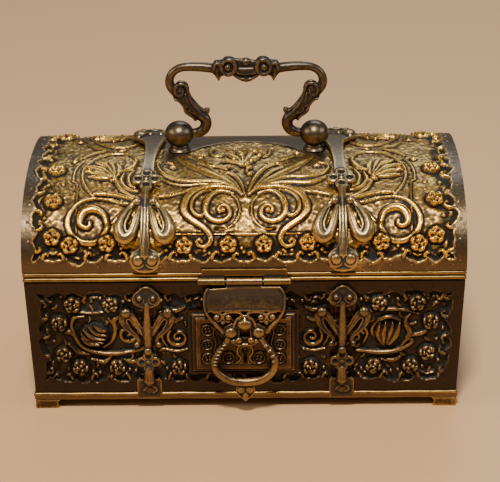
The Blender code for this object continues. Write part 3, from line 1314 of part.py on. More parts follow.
def build_lock():
    """Box lock on the front wall: stepped cover, keyhole rim, back plate, bolt, keeper, spring, key post."""
    low = -GROUND_DEPTH + GAP
    centre = (LOCK_X, LOCK_CENTRE)
    step_rise = (LOCK_PROUD - low) / 3
    cover = plate([rectangle(LOCK_HALF_WIDTH, LOCK_HALF_HEIGHT, centre)], low, low + step_rise)
    for number in (1, 2):
        shrink = LOCK_STEP * number
        layer = rectangle(LOCK_HALF_WIDTH - shrink, LOCK_HALF_HEIGHT - shrink, centre)
        cover = fused(cover, plate([layer], low + 0.05 * MM * number, low + step_rise * (number + 1)))
    field = rectangle(LOCK_HALF_WIDTH - LOCK_FRAME, LOCK_HALF_HEIGHT - LOCK_FRAME, centre)
    face = LOCK_PROUD - LOCK_RECESS
    cavity_half = (LOCK_HALF_WIDTH - LOCK_FRAME + 1.2 * MM, LOCK_HALF_HEIGHT - LOCK_FRAME + 1.2 * MM)
    cavity = rectangle(*cavity_half, centre)
    inside = face - LOCK_FACE
    key_centre = (LOCK_X + KEYHOLE_X, LOCK_CENTRE + KEYHOLE_Y)
    slot = rectangle(KEYHOLE_WIDTH / 2, KEYHOLE_DROP / 2, (key_centre[0], key_centre[1] - KEYHOLE_DROP / 2))
    eye = rod((*key_centre, -1 * MM), (*key_centre, 6 * MM), KEYHOLE_RADIUS, sides=14)
    notch_half = STAPLE_WIDTH / 2 + STAPLE_PLAY
    notch = block(
        (LOCK_X - notch_half, LOCK_CENTRE + STAPLE_Y - STAPLE_HALF_HEIGHT - STAPLE_PLAY, low - 1 * MM),
        (LOCK_X + notch_half, LOCK_CENTRE + LOCK_HALF_HEIGHT + 1 * MM, 6 * MM),
    )
    cover = cut(
        cover,
        plate([field], face, 6 * MM),
        plate([cavity], -2 * MM, inside),
        eye,
        plate([slot], -1 * MM, 6 * MM),
        notch,
    )
    add_on_wall("lock_plate", cover, "front", BRASS_AGED)

    rim_outer = arc(key_centre, 3.2 * MM, -60, 240, 14) + [
        (key_centre[0] - 2.4 * MM, key_centre[1] - 5.4 * MM),
        (key_centre[0] + 2.4 * MM, key_centre[1] - 5.4 * MM),
    ]
    ring = plate([rim_outer], face + GAP, face + GAP + 0.5 * MM)
    wide_eye = rod((*key_centre, 0), (*key_centre, 6 * MM), KEYHOLE_RADIUS + 0.35 * MM, sides=14)
    slot_centre = (key_centre[0], key_centre[1] - KEYHOLE_DROP / 2)
    wide_slot = rectangle(KEYHOLE_WIDTH / 2 + 0.3 * MM, KEYHOLE_DROP / 2, slot_centre)
    ring = cut(ring, wide_eye, plate([wide_slot], 0, 6 * MM))
    add_on_wall("keyhole_rim", ring, "front", BRASS_BRIGHT)

    back_half = (cavity_half[0] - GAP, cavity_half[1] - GAP)
    back = plate([rectangle(*back_half, centre)], low, low + BACKPLATE_THICKNESS)
    add_on_wall("lock_back_plate", back, "front", STEEL_DARK)
    floor = low + BACKPLATE_THICKNESS + GAP

    post = rod((*key_centre, floor), (*key_centre, inside - GAP), 0.6 * MM, sides=10)
    post = fused(post, rod((*key_centre, floor), (*key_centre, floor + 0.4 * MM), 1.1 * MM, sides=10))
    add_on_wall("lock_key_post", post, "front", STEEL_DARK)

    bolt_top = LOCK_CENTRE + cavity_half[1] - GAP
    bolt_low = bolt_top - BOLT_HEIGHT
    bolt_end = LOCK_X - notch_half - 0.3 * MM
    back_end = bolt_end - BOLT_LENGTH
    bolt_outline = [(back_end, bolt_low)]
    bolt_outline += [(bolt_end - x * MM, bolt_low - y * MM) for x, y in BOLT_TAIL]
    bolt_outline += [(bolt_end, bolt_low), (bolt_end, bolt_top), (back_end, bolt_top)]
    bolt = plate([bolt_outline], inside - GAP - BOLT_THICKNESS, inside - GAP)
    add_on_wall("lock_bolt", bolt, "front", STEEL_DARK)

    keeper = block(
        (back_end + 0.4 * MM, bolt_low - GAP - 1.4 * MM, floor),
        (back_end + 2.6 * MM, bolt_low - GAP, inside - GAP),
    )
    add_on_wall("lock_bolt_keeper", keeper, "front", STEEL_DARK)
    anchor = (LOCK_X + cavity_half[0] - 2.2 * MM, LOCK_CENTRE - 1.0 * MM)
    tip = (LOCK_X + notch_half + 1.4 * MM, bolt_low + 0.2 * MM)
    leaf = []
    for number in range(7):
        share = number / 6
        leaf.append((anchor[0] + (tip[0] - anchor[0]) * share, anchor[1] + (tip[1] - anchor[1]) * share**0.6))
    strip = leaf + [(x, y - 0.5 * MM) for x, y in reversed(leaf)]
    spring = plate([list(reversed(strip))], floor + 0.1 * MM, inside - GAP)
    pillar_place = (anchor[0], anchor[1] - 0.4 * MM)
    pillar = rod((*pillar_place, floor), (*pillar_place, inside - GAP), 1.0 * MM, sides=10)
    add_on_wall("lock_spring", fused(pillar, spring), "front", STEEL_DARK)


def build_staple():
    """Eye on the back of the hasp that the bolt shoots through."""
    tilt = math.pi / 2 + FRONT_TILT
    deep = LOCK_PROUD + HASP_CLEARANCE - GAP
    low = -GROUND_DEPTH + GAP + BACKPLATE_THICKNESS + GAP
    middle = ((low + deep) / 2, 0)
    outer = rectangle((deep - low) / 2, STAPLE_HALF_HEIGHT, middle)
    eye_low = low + STAPLE_BAR
    eye_high = deep - STAPLE_FOOT
    eye = rectangle((eye_high - eye_low) / 2, STAPLE_EYE_HALF_HEIGHT, ((eye_low + eye_high) / 2, 0))
    loop = plate([outer, eye], -STAPLE_WIDTH / 2, STAPLE_WIDTH / 2)
    loop.transform(Matrix(((0, 0, 1, 0), (0, 1, 0, 0), (-1, 0, 0, 0), (0, 0, 0, 1))))
    loop.transform(Matrix.Diagonal((1, 1, -1, 1)))
    loop = weld(loop)
    loop = moved(loop, (LOCK_X, LOCK_CENTRE + STAPLE_Y, 0))
    loop = turned_about(loop, tilt, "X")
    loop = moved(loop, (0, -WALL_HALF_DEPTH_BOTTOM, WALL_BOTTOM))
    add_part("hasp_staple", moved(loop, from_hasp(0, 0, 0)), BRASS_AGED, parent=HASP)


build_case_shell()
build_case_panels()
build_rims()
build_base()
build_case_straps()
build_lock()
build_lid_cover()
build_lid_shell()
build_lid_straps()
build_bail(build_knobs())
build_rear_hinges()
build_hasp_hinge()
build_hasp()
build_staple()
bpy.context.view_layer.update()
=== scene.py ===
"""Small cast and stamped brass jewel casket with a vaulted lid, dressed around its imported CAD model."""
import math

import bmesh
import bpy
import numpy as np
from mathutils import Matrix, Vector
from mathutils.geometry import tessellate_polygon


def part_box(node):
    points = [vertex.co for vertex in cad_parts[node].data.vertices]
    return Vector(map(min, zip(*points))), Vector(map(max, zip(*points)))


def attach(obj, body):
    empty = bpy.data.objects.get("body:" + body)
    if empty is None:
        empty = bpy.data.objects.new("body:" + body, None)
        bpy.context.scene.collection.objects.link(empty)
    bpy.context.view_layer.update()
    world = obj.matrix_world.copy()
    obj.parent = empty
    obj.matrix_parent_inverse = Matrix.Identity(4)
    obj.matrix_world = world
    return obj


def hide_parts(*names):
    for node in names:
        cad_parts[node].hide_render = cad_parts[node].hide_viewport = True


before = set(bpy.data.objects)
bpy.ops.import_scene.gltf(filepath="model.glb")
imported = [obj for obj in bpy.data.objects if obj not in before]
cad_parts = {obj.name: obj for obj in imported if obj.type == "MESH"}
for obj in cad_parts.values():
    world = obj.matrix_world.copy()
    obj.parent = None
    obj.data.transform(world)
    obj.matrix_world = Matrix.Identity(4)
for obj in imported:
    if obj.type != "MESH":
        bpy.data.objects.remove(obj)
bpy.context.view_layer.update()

# Camera, floor and studio lights
# The camera stands in front of the casket and a little above it, where the photographer stood.
# Focal length and distance were solved from the casket's corners in the photograph.
MM = 0.001
case_rim_low, case_rim_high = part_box("case_rim")
CASE_MIDDLE_Y = (case_rim_low.y + case_rim_high.y) / 2 / MM
PHOTO_WIDTH = 500
FOCAL_PIXELS = 1721.79
SENSOR = 36.0
CAMERA_RISE = 0.396
CAMERA_TURN = 0.009
CAMERA_ROLL = -0.011
CAMERA_DISTANCE = 665.833
CAMERA_TARGET = Vector((1.787, CASE_MIDDLE_Y, 47.677))


def add_object(name, data):
    item = bpy.data.objects.new(name, data)
    bpy.context.scene.collection.objects.link(item)
    return item


def new_material(name):
    """Material with its node tree and the shader in it."""
    material = bpy.data.materials.new(name)
    material.use_nodes = True
    return material, material.node_tree, material.node_tree.nodes["Principled BSDF"]


def add_camera():
    back = Vector(
        (
            math.sin(CAMERA_TURN) * math.cos(CAMERA_RISE),
            -math.cos(CAMERA_TURN) * math.cos(CAMERA_RISE),
            math.sin(CAMERA_RISE),
        )
    )
    right = (-back).cross(Vector((0, 0, 1))).normalized()
    up = right.cross(-back)
    across = right * math.cos(CAMERA_ROLL) + up * math.sin(CAMERA_ROLL)
    upward = -right * math.sin(CAMERA_ROLL) + up * math.cos(CAMERA_ROLL)
    place = (CAMERA_TARGET + back * CAMERA_DISTANCE) * MM
    lens = bpy.data.cameras.new("photo_camera")
    lens.sensor_width = SENSOR
    lens.sensor_fit = "HORIZONTAL"
    lens.lens = FOCAL_PIXELS * SENSOR / PHOTO_WIDTH
    lens.clip_start = 0.05
    lens.clip_end = 20.0
    camera = add_object("photo_camera", lens)
    turn = Matrix((across, upward, back)).transposed()
    camera.matrix_world = Matrix.Translation(place) @ turn.to_4x4()
    bpy.context.scene.camera = camera


def add_soft_light(name, place, aim, size, power, colour):
    """Rectangular studio light that points at a place."""
    light = bpy.data.lights.new(name, "AREA")
    light.shape = "RECTANGLE"
    light.size, light.size_y = size
    light.energy = power
    light.color = colour
    item = add_object(name, light)
    item.location = place
    item.rotation_euler = (Vector(aim) - Vector(place)).to_track_quat("-Z", "Y").to_euler()


def add_room():
    """Pale floor and the faint light of the room round it."""
    bpy.ops.mesh.primitive_plane_add(size=5.0, location=(0, 0, 0))
    floor = bpy.context.object
    floor.name = "studio_floor"
    paint, _, shader = new_material("floor_paint")
    shader.inputs["Base Color"].default_value = (0.72, 0.43, 0.21, 1)
    shader.inputs["Roughness"].default_value = 0.6
    floor.data.materials.append(paint)
    room = bpy.data.worlds.new("studio_room")
    room.use_nodes = True
    air = room.node_tree.nodes["Background"]
    air.inputs["Color"].default_value = (1.0, 0.93, 0.84, 1)
    air.inputs["Strength"].default_value = 0.16
    bpy.context.scene.world = room


add_camera()
add_room()
CASKET_MIDDLE = (0.0, 0.0, 0.06)
add_soft_light("key_light", (-0.05, -0.62, 1.25), CASKET_MIDDLE, (0.17, 0.17), 19.0, (1.0, 0.93, 0.80))
add_soft_light("left_fill", (-1.15, -0.45, 0.75), CASKET_MIDDLE, (0.8, 0.5), 6.0, (1.0, 0.90, 0.76))
add_soft_light("right_fill", (1.2, -0.3, 0.85), CASKET_MIDDLE, (0.7, 0.5), 5.0, (0.74, 0.85, 1.0))
add_soft_light("back_light", (0.2, 1.1, 1.2), CASKET_MIDDLE, (0.9, 0.5), 7.0, (0.66, 0.79, 1.0))

# Lid cover
# A thin brass sheet, stamped from behind and chased: a plain border with a torn inner edge, a punched
# ground with scrolls, leaves and flowers, and a row of rose bosses all round. It is bent over the arch.
lid_rim_low, lid_rim_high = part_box("lid_rim")
GAP = 0.3
HALF_WIDTH = lid_rim_high.x / MM
HALF_DEPTH = (lid_rim_high.y - lid_rim_low.y) / 2 / MM
ARCH_SPRING = lid_rim_high.z / MM + GAP
ARCH_RISE = 29.9
ARCH_FULLNESS = 2.3
ARCH_STEPS = 2400
SHEET_THICKNESS = 1.45
SHEET_LEAST = 0.1
SHEET_SHRINK = 0.02
SHEET_PITCH = 0.35
BORDER_WIDTH = 5.0
MIDDLE_GROUND = -0.78
DEEP_GROUND = -1.3
ROSE_FOOT = DEEP_GROUND + 0.15
ROSE_SIZE = 3.5
ROSE_RISE = 2.75
ROSE_TURN = 0.3
CREASE_ROOM = 1.0
LINE_SPACING = 0.5
RELIEF_REACH = 4
TEAR_PITCH_LID = 7.8
TEAR_PITCH_CASE = 7.2
CUSP_REACH = 1.0
SCALLOP_DEPTH = 2.0
NAIL_PITCH = 7.5
NAIL_FROM_EDGE = 2.5


def find_arch():
    """Depth, height and outward direction along the lid's arch, from its front foot to its back foot."""
    angle = np.linspace(0.0, math.pi, ARCH_STEPS)
    power = 2 / ARCH_FULLNESS
    depth = -np.sign(np.cos(angle)) * np.abs(np.cos(angle)) ** power * HALF_DEPTH
    height = ARCH_SPRING + ARCH_RISE * np.maximum(np.sin(angle), 0.0) ** power
    step = np.hypot(np.diff(depth), np.diff(height))
    run = np.concatenate([[0.0], np.cumsum(step)])
    slope_y = np.gradient(depth, run)
    slope_z = np.gradient(height, run)
    size = np.hypot(slope_y, slope_z)
    return run, depth, height, -slope_z / size, slope_y / size


ARCH_RUN, ARCH_Y, ARCH_Z, ARCH_OUT_Y, ARCH_OUT_Z = find_arch()
ARCH_LENGTH = ARCH_RUN[-1]


def over_arch(across, run, out):
    """Flat places, in millimetres, laid over the lid's arch."""
    y = np.interp(run, ARCH_RUN, ARCH_Y) + np.interp(run, ARCH_RUN, ARCH_OUT_Y) * out
    z = np.interp(run, ARCH_RUN, ARCH_Z) + np.interp(run, ARCH_RUN, ARCH_OUT_Z) * out
    return np.stack([across, y + CASE_MIDDLE_Y, z], axis=-1)


def softened(values, reach):
    """Heights averaged over a square reach, twice, so that the result is smooth."""
    result = values
    for _ in range(2):
        for axis in (0, 1):
            margins = [(0, 0), (0, 0)]
            margins[axis] = (reach, reach)
            padded = np.pad(result, margins, mode="edge")
            total = np.cumsum(padded, axis=axis)
            total = np.concatenate([np.zeros_like(np.take(total, [0], axis=axis)), total], axis=axis)
            span = 2 * reach + 1
            count = values.shape[axis]
            upper = np.take(total, range(span, span + count), axis=axis)
            lower = np.take(total, range(0, count), axis=axis)
            result = (upper - lower) / span
    return result


def flowing(points, widths):
    """Smooth line through a few points, with half widths spread evenly along it."""
    places = np.array(points, dtype=float)
    padded = np.vstack([2 * places[0] - places[1], places, 2 * places[-1] - places[-2]])
    curve = []
    for number in range(len(places) - 1):
        before, start, end, after = padded[number : number + 4]
        steps = max(2, int(np.linalg.norm(end - start) / LINE_SPACING))
        share = np.linspace(0, 1, steps, endpoint=False)[:, None]
        bend = 2 * before - 5 * start + 4 * end - after
        sharper = 3 * start - before - 3 * end + after
        curve.append(0.5 * (2 * start + (end - before) * share + bend * share**2 + sharper * share**3))
    curve = np.vstack(curve + [places[-1:]])
    lengths = np.concatenate([[0.0], np.cumsum(np.linalg.norm(np.diff(curve, axis=0), axis=1))])
    stations = np.linspace(0.0, lengths[-1], len(widths))
    return curve, np.interp(lengths, stations, widths)


def around(x, y, radius, angle):
    """Place at a radius and an angle from a centre."""
    return x + radius * math.cos(angle), y + radius * math.sin(angle)


def eased(values):
    """Zero to one with soft ends."""
    share = np.clip(values, 0.0, 1.0)
    return share * share * (3 - 2 * share)


class Sheet:
    """Heights that strokes and bosses press into a flat sheet, in millimetres."""

    def __init__(self, half_width, low, high, pitch):
        self.x = np.linspace(-half_width, half_width, round(2 * half_width / pitch) + 1)
        self.y = np.linspace(low, high, round((high - low) / pitch) + 1)
        self.across, self.up = np.meshgrid(self.x, self.y)
        self.height = np.zeros(self.across.shape)
        self.taken = np.zeros(self.across.shape)
        self.border = np.zeros(self.across.shape)
        self.mirror = 1.0
        self.axis = 0.0

    def placed(self, points):
        """Points on the side that is being worked, where the other side is its mirror image."""
        return [(self.axis + self.mirror * (x - self.axis), y) for x, y in points]

    def window(self, low, high):
        columns = slice(*np.searchsorted(self.x, (low[0], high[0])))
        rows = slice(*np.searchsorted(self.y, (low[1], high[1])))
        return rows, columns

    def near_line(self, points, widths):
        """For each place near a line: its distance in half widths, and how far it lies outside the line."""
        curve, half = flowing(self.placed(points), widths)
        reach = half.max() + CREASE_ROOM
        area = self.window(curve.min(axis=0) - reach, curve.max(axis=0) + reach)
        across = self.across[area]
        up = self.up[area]
        away = np.full(across.shape, 1e6)
        beside = np.full(across.shape, 1e6)
        for start, end, wide, next_wide in zip(curve, curve[1:], half, half[1:]):
            run = end - start
            share = np.clip(((across - start[0]) * run[0] + (up - start[1]) * run[1]) / (run @ run), 0, 1)
            gap = np.hypot(across - start[0] - share * run[0], up - start[1] - share * run[1])
            width = wide + (next_wide - wide) * share
            closer = gap - width < beside
            beside[closer] = (gap - width)[closer]
            away[closer] = (gap / width)[closer]
        return area, away, beside

    def lift(self, area, away, outside, rise, foot, crease, shape):
        """Raises the places less than one half width away, and chases a fine crease just outside them."""
        near = self.height[area]
        near -= crease * np.exp(-(outside**2)) * (near > foot - 0.4)
        body = foot + rise * np.maximum(1 - away**2, 0.0) ** shape
        inside = away < 1
        near[inside] = np.maximum(near, body)[inside]
        self.taken[area][inside] = 1.0

    def stroke(self, points, widths, rise, foot=MIDDLE_GROUND, crease=0.22, shape=0.5):
        """Raised line: round across, with a fine crease chased along both sides."""
        area, away, beside = self.near_line(points, widths)
        self.lift(area, away, np.maximum(beside, 0.0) / 0.38, rise, foot, crease, shape)

    def groove(self, points, widths, depth):
        """Line cut into what is there."""
        area, away, _ = self.near_line(points, widths)
        self.height[area] -= depth * np.maximum(1 - away**2, 0.0)

    def boss(self, x, y, radii, rise, turn=0.0, foot=MIDDLE_GROUND, crease=0.25, shape=0.5):
        """Raised oval."""
        (x, y), = self.placed([(x, y)])
        reach = max(radii) + CREASE_ROOM
        area = self.window((x - reach, y - reach), (x + reach, y + reach))
        across = self.across[area] - x
        up = self.up[area] - y
        turn *= self.mirror
        along = across * math.cos(turn) + up * math.sin(turn)
        beside = up * math.cos(turn) - across * math.sin(turn)
        away = np.hypot(along / radii[0], beside / radii[1])
        self.lift(area, away, np.maximum(away - 1, 0) * min(radii) / 0.35, rise, foot, crease, shape)

    def leaf(self, points, widths, rise, foot=MIDDLE_GROUND):
        """Leaf with a chased middle vein."""
        self.stroke(points, widths, rise, foot, crease=0.3, shape=0.65)
        middle = points[1:-1] if len(points) > 3 else points
        self.groove(middle, (0.2, 0.38, 0.2), 0.3)

    def rose(self, x, y, size, rise, turn):
        """Rose boss on the deep ground: a round cushion, five outer petals, three inner ones and a bud."""
        self.boss(x, y, (size, size), rise * 0.72, foot=ROSE_FOOT, crease=0.35, shape=0.42)
        for petals, first, out, length, width, high, crease in (
            (5, 0.0, 0.58, 0.50, 0.40, 0.9, 0.5),
            (3, 0.5, 0.27, 0.34, 0.24, 1.05, 0.4),
        ):
            for petal in range(petals):
                angle = turn + first + petal * 2 * math.pi / petals
                radii = (length * size, width * size)
                place = around(x, y, out * size, angle)
                self.boss(*place, radii, rise * high, angle + math.pi / 2, ROSE_FOOT, crease, 0.45)
        self.boss(x, y, (0.17 * size, 0.17 * size), rise * 1.12, foot=ROSE_FOOT, crease=0.3)

    def roses(self, places, turn, step, size=ROSE_SIZE, rise=ROSE_RISE):
        """Row of rose bosses, each turned a step further than the last."""
        for number, (x, y) in enumerate(places):
            self.rose(x, y, size, rise, turn + step * number)

    def scroll(self, x, y, reach, turns, hand, start, widths, rise, foot=MIDDLE_GROUND, shrink=0.86):
        """Line that winds in to an eye."""
        points = []
        steps = int(turns * 12)
        for number in range(steps + 1):
            share = number / steps
            angle = start + hand * turns * 2 * math.pi * share
            points.append(around(x, y, reach * (1 - shrink * share), angle))
        self.stroke(points, widths, rise, foot)

    def both_sides(self, work, axis=0.0):
        """Runs the work twice, the second time as a mirror image about an upright line."""
        self.axis = axis
        for side in (1.0, -1.0):
            self.mirror = side
            work()
        self.mirror = 1.0
        self.axis = 0.0


def press_border(sheet, edges, pitch, seed, middle=MIDDLE_GROUND):
    """Plain border with a torn, scalloped inner edge, and the ground that it frames, deepest beside it."""
    inside = np.full(sheet.height.shape, 1e6)
    scallop = np.zeros(sheet.height.shape)
    for number, (away, along, length) in enumerate(edges):
        turns = along * max(1, round(length / pitch)) / length
        uneven = np.sin(turns * 2.3 + seed * 1.7 + number * 2.1)
        wave = np.abs(np.sin(math.pi * (turns + 0.16 * uneven)))
        torn = 0.3 * np.sin(turns * 9.7 + seed) * np.sin(turns * 5.3 + 2.0 * seed)
        depth = SCALLOP_DEPTH * (1 + 0.3 * np.sin(turns * 1.9 + seed * 0.8))
        here = away - (BORDER_WIDTH + CUSP_REACH - depth * wave**0.7 + 0.4 * uneven + torn)
        closer = here < inside
        scallop[closer] = wave[closer]
        inside[closer] = here[closer]
    chance = np.random.default_rng(seed)
    lumps = softened(chance.normal(size=sheet.height.shape), 2)
    lumps += 1.8 * softened(chance.normal(size=sheet.height.shape), 5)
    lumps /= lumps.std()
    pits = softened(chance.normal(size=sheet.height.shape), 1)
    pits /= pits.std()
    level = eased((inside - 3.0) / 4.0)
    ground = DEEP_GROUND + (middle - DEEP_GROUND) * level + lumps * (0.13 - 0.11 * level) + pits * 0.085
    ground -= 0.5 * scallop * np.exp(-(((inside - 1.0) / 0.7) ** 2))
    ground += 0.9 * scallop * np.exp(-(((inside - 2.5) / 0.5) ** 2)) * np.clip(0.45 + 0.5 * lumps, 0, 1)
    lip = 0.22 * np.exp(-(((inside + 0.3) / 0.3) ** 2)) * np.clip(0.6 + 0.3 * lumps, 0.1, 1)
    sheet.height[:] = lip + 0.02 * lumps + (ground - lip) * eased(inside / 0.5)
    sheet.taken[:] = 1 - eased(inside / 0.5)
    sheet.border = 1 - 0.6 * eased((inside + 0.9) / 0.8) - 0.4 * eased(inside / 0.8)
    return inside


def cusp_leaves(sheet, half, rise, pitch):
    """Curled leaf tips, one at each cusp of the torn edge."""
    reach = BORDER_WIDTH + CUSP_REACH
    across = max(1, round(2 * half / pitch))
    upward = max(1, round(rise / pitch))
    roots = []
    for number in range(1, across):
        x = -half + 2 * half * number / across
        roots += [((x, reach), (1, 0), (0, 1)), ((x, rise - reach), (1, 0), (0, -1))]
    for number in range(1, upward):
        y = rise * number / upward
        roots += [((-half + reach, y), (0, 1), (1, 0)), ((half - reach, y), (0, 1), (-1, 0))]
    for number, (root, along, inward) in enumerate(roots):
        hand = 1 if math.sin(number * 2.1 + 0.4) > 0 else -1
        size = 0.9 + 0.22 * math.sin(number * 1.7)
        points = []
        for side, depth in ((0.0, -0.7), (0.35, 0.5), (1.3, 1.5), (2.3, 1.1), (2.2, 0.3)):
            way = hand * side * size
            points.append((root[0] + along[0] * way + inward[0] * depth * size,
                           root[1] + along[1] * way + inward[1] * depth * size))
        sheet.stroke(points, (0.8, 0.85, 0.7, 0.5, 0.35), 1.5, foot=DEEP_GROUND + 0.1, crease=0.3, shape=0.6)


def press_nails(sheet, places):
    for x, y in places:
        sheet.boss(x, y, (0.5, 0.5), 0.32, foot=-0.02, crease=0.08)


def four_edges(sheet, half, rise):
    """For each edge of a sheet: how far in a place lies, its way along the edge, and the edge's length."""
    return (
        (sheet.up, sheet.across + half, 2 * half),
        (rise - sheet.up, sheet.across + half, 2 * half),
        (sheet.across + half, sheet.up, rise),
        (half - sheet.across, sheet.up, rise),
    )


LID_ROSES = ((-68.9, 13.3), (-69.0, 28.0), (-69.0, 45.6), (-62.6, 10.3), (-49.2, 10.9))
MIDDLE_ROSES = ((-21.5, 10.0), (-5.6, 10.2), (7.2, 10.3), (22.9, 10.9))
CENTRE_AXIS = 0.6


def outer_field(sheet):
    """Flower in an oval frame, leaves and a large scroll, between the border and a strap."""
    sheet.stroke([(-60.3, 15.0), (-60.4, 25.4), (-60.6, 30.8), (-61.0, 36.8), (-62.5, 38.8)], (0.4, 0.4), 0.5)
    sheet.stroke([(-62.5, 38.6), (-62.6, 43.2), (-61.7, 48.4), (-59.6, 53.6)], (0.5, 0.5, 0.4), 0.55)
    oval = [
        (-40.4, 54.6), (-42.7, 58.7), (-46.0, 60.0), (-50.3, 59.5), (-54.4, 56.3), (-57.2, 51.8),
        (-59.0, 47.2), (-59.5, 42.2), (-58.7, 37.6), (-56.9, 33.7), (-54.6, 30.3),
    ]
    sheet.stroke(oval, (0.5, 0.55, 0.6, 0.55, 0.5), 0.72)
    ring = [
        (-51.6, 28.9), (-55.0, 28.8), (-59.1, 27.3), (-62.0, 24.1), (-63.3, 20.6), (-63.2, 17.3),
        (-61.7, 14.1), (-59.1, 11.9), (-56.0, 11.1), (-52.9, 11.5), (-50.6, 13.4), (-49.2, 16.3),
        (-49.2, 18.6),
    ]
    sheet.stroke(ring, (0.5, 0.9, 1.1, 1.15, 1.05), 1.15)
    sheet.groove(ring[2:11], (0.15, 0.26, 0.26, 0.15), 0.3)
    crescent = [
        (-49.2, 18.2), (-50.3, 21.7), (-52.7, 23.8), (-55.3, 24.4), (-57.6, 23.2),
        (-58.9, 20.6), (-58.6, 18.0), (-56.8, 16.7), (-55.4, 17.4), (-55.4, 18.9),
    ]
    sheet.stroke(crescent, (0.9, 1.25, 1.75, 1.6, 1.1, 0.7), 1.45, crease=0.5)
    sheet.groove([(-51.2, 20.0), (-53.4, 22.0), (-55.6, 22.2)], (0.2, 0.4, 0.2), 0.35)
    petals = (
        ((-47.6, 40.6), (-53.2, 40.6), (-57.0, 41.2)),
        ((-47.6, 41.0), (-53.4, 43.4), (-58.4, 44.7)),
        ((-47.4, 41.4), (-52.5, 46.4), (-57.8, 48.2)),
        ((-47.0, 41.8), (-50.6, 48.4), (-55.2, 51.4)),
        ((-46.4, 42.2), (-48.2, 47.6), (-50.4, 51.6)),
        ((-46.2, 42.4), (-46.0, 46.5), (-47.4, 50.4)),
    )
    for number, petal in enumerate(petals):
        sheet.stroke(petal, (0.7, 1.35, 1.2, 0.5), 1.15 + 0.1 * (number % 2), crease=0.45)
        sheet.groove(petal, (0.12, 0.25, 0.12), 0.25)
    sheet.boss(-57.2, 45.0, (1.2, 1.6), 1.5, 0.4, crease=0.3)
    sheet.boss(-47.6, 39.2, (1.7, 1.3), 1.35, 0.7, crease=0.4)
    sheet.boss(-46.2, 37.6, (1.1, 0.9), 1.2, 0.7, crease=0.4)
    sheet.stroke([(-46.4, 36.8), (-44.3, 33.2), (-41.0, 30.2), (-38.0, 29.0)], (0.7, 0.85, 0.9, 0.7), 1.0)
    long_leaf = [(-54.6, 30.9), (-50.4, 31.4), (-46.2, 30.9), (-42.0, 29.3), (-38.0, 28.0)]
    sheet.leaf(long_leaf, (0.4, 1.0, 1.2, 0.9, 0.5), 1.05)
    sheet.leaf([(-52.7, 28.9), (-48.2, 28.4), (-44.0, 26.9), (-40.6, 26.4)], (0.3, 0.8, 0.8, 0.4), 0.85)
    sheet.leaf([(-39.6, 53.6), (-41.2, 48.6), (-42.8, 46.2), (-45.2, 44.4)], (0.4, 1.2, 1.5, 0.5), 1.0)
    stem = [(-44.0, 43.0), (-45.0, 38.6), (-43.4, 34.9), (-40.6, 33.0), (-38.6, 32.4)]
    sheet.stroke(stem, (0.4, 1.0, 1.0, 0.6), 0.95)
    sheet.stroke([(-40.4, 45.4), (-42.3, 40.6), (-41.7, 36.4), (-39.6, 34.6)], (0.4, 0.8, 0.8, 0.5), 0.85)
    sheet.leaf([(-40.4, 24.9), (-43.8, 22.2), (-47.2, 18.6)], (0.4, 1.1, 0.5), 0.7)
    sheet.stroke([(-52.6, 62.8), (-56.6, 60.2), (-60.0, 56.0)], (0.4, 0.9, 0.4), 0.7)
    sheet.boss(-63.0, 53.0, (1.3, 1.0), 1.0, 0.5)
    sheet.boss(-46.0, 63.6, (1.6, 0.8), 0.9, 0.3)


def centre_scrolls(sheet):
    """Half of the middle field's scrollwork: a stem that curls at its foot, a curl and a winding scroll."""
    stem = [
        (-0.6, 30.3), (-2.6, 32.9), (-6.1, 34.2), (-11.5, 34.7), (-16.0, 33.6), (-19.6, 30.8),
        (-21.4, 26.6), (-21.3, 23.0), (-19.2, 20.1), (-15.8, 17.7), (-13.2, 15.4), (-11.9, 12.7),
        (-12.5, 10.5), (-14.4, 9.6),
    ]
    sheet.stroke(stem, (0.5, 0.8, 1.0, 1.3, 1.5, 1.25, 1.1, 0.8), 1.2, crease=0.35)
    sheet.groove(stem[3:12], (0.15, 0.3, 0.35, 0.25, 0.15), 0.34)
    tip = [(-14.0, 9.4), (-16.4, 10.1), (-17.0, 11.5), (-15.9, 12.3), (-15.2, 11.3)]
    sheet.stroke(tip, (0.8, 0.7, 0.6), 1.1)
    curl = [
        (-11.5, 32.7), (-15.1, 32.0), (-18.1, 29.1), (-18.9, 25.7), (-18.0, 22.6), (-15.8, 21.1),
        (-14.4, 22.2),
    ]
    sheet.stroke(curl, (0.35, 0.6, 0.75, 0.75, 0.9), 1.0)
    spiral = [
        (-4.0, 31.2), (-8.8, 32.4), (-11.9, 30.4), (-13.7, 26.4), (-13.6, 22.6), (-11.8, 20.0), (-9.0, 19.1),
        (-6.2, 20.0), (-5.0, 22.2), (-5.5, 24.6), (-7.3, 25.6), (-9.1, 24.5), (-8.7, 22.9),
    ]
    sheet.stroke(spiral, (0.5, 0.95, 1.15, 1.1, 1.0, 0.85, 0.7), 1.1, crease=0.35)
    sheet.groove(spiral[1:8], (0.12, 0.22, 0.12), 0.2)
    sheet.boss(-7.5, 23.5, (1.05, 1.05), 1.25, crease=0.3)
    ring = [(-4.4, 30.9), (-2.4, 28.2), (-1.5, 24.4), (-2.1, 20.6), (-4.0, 17.6), (-6.9, 16.0), (-9.8, 16.1)]
    sheet.stroke(ring, (0.35, 0.4, 0.4, 0.3), 0.55, crease=0.3)


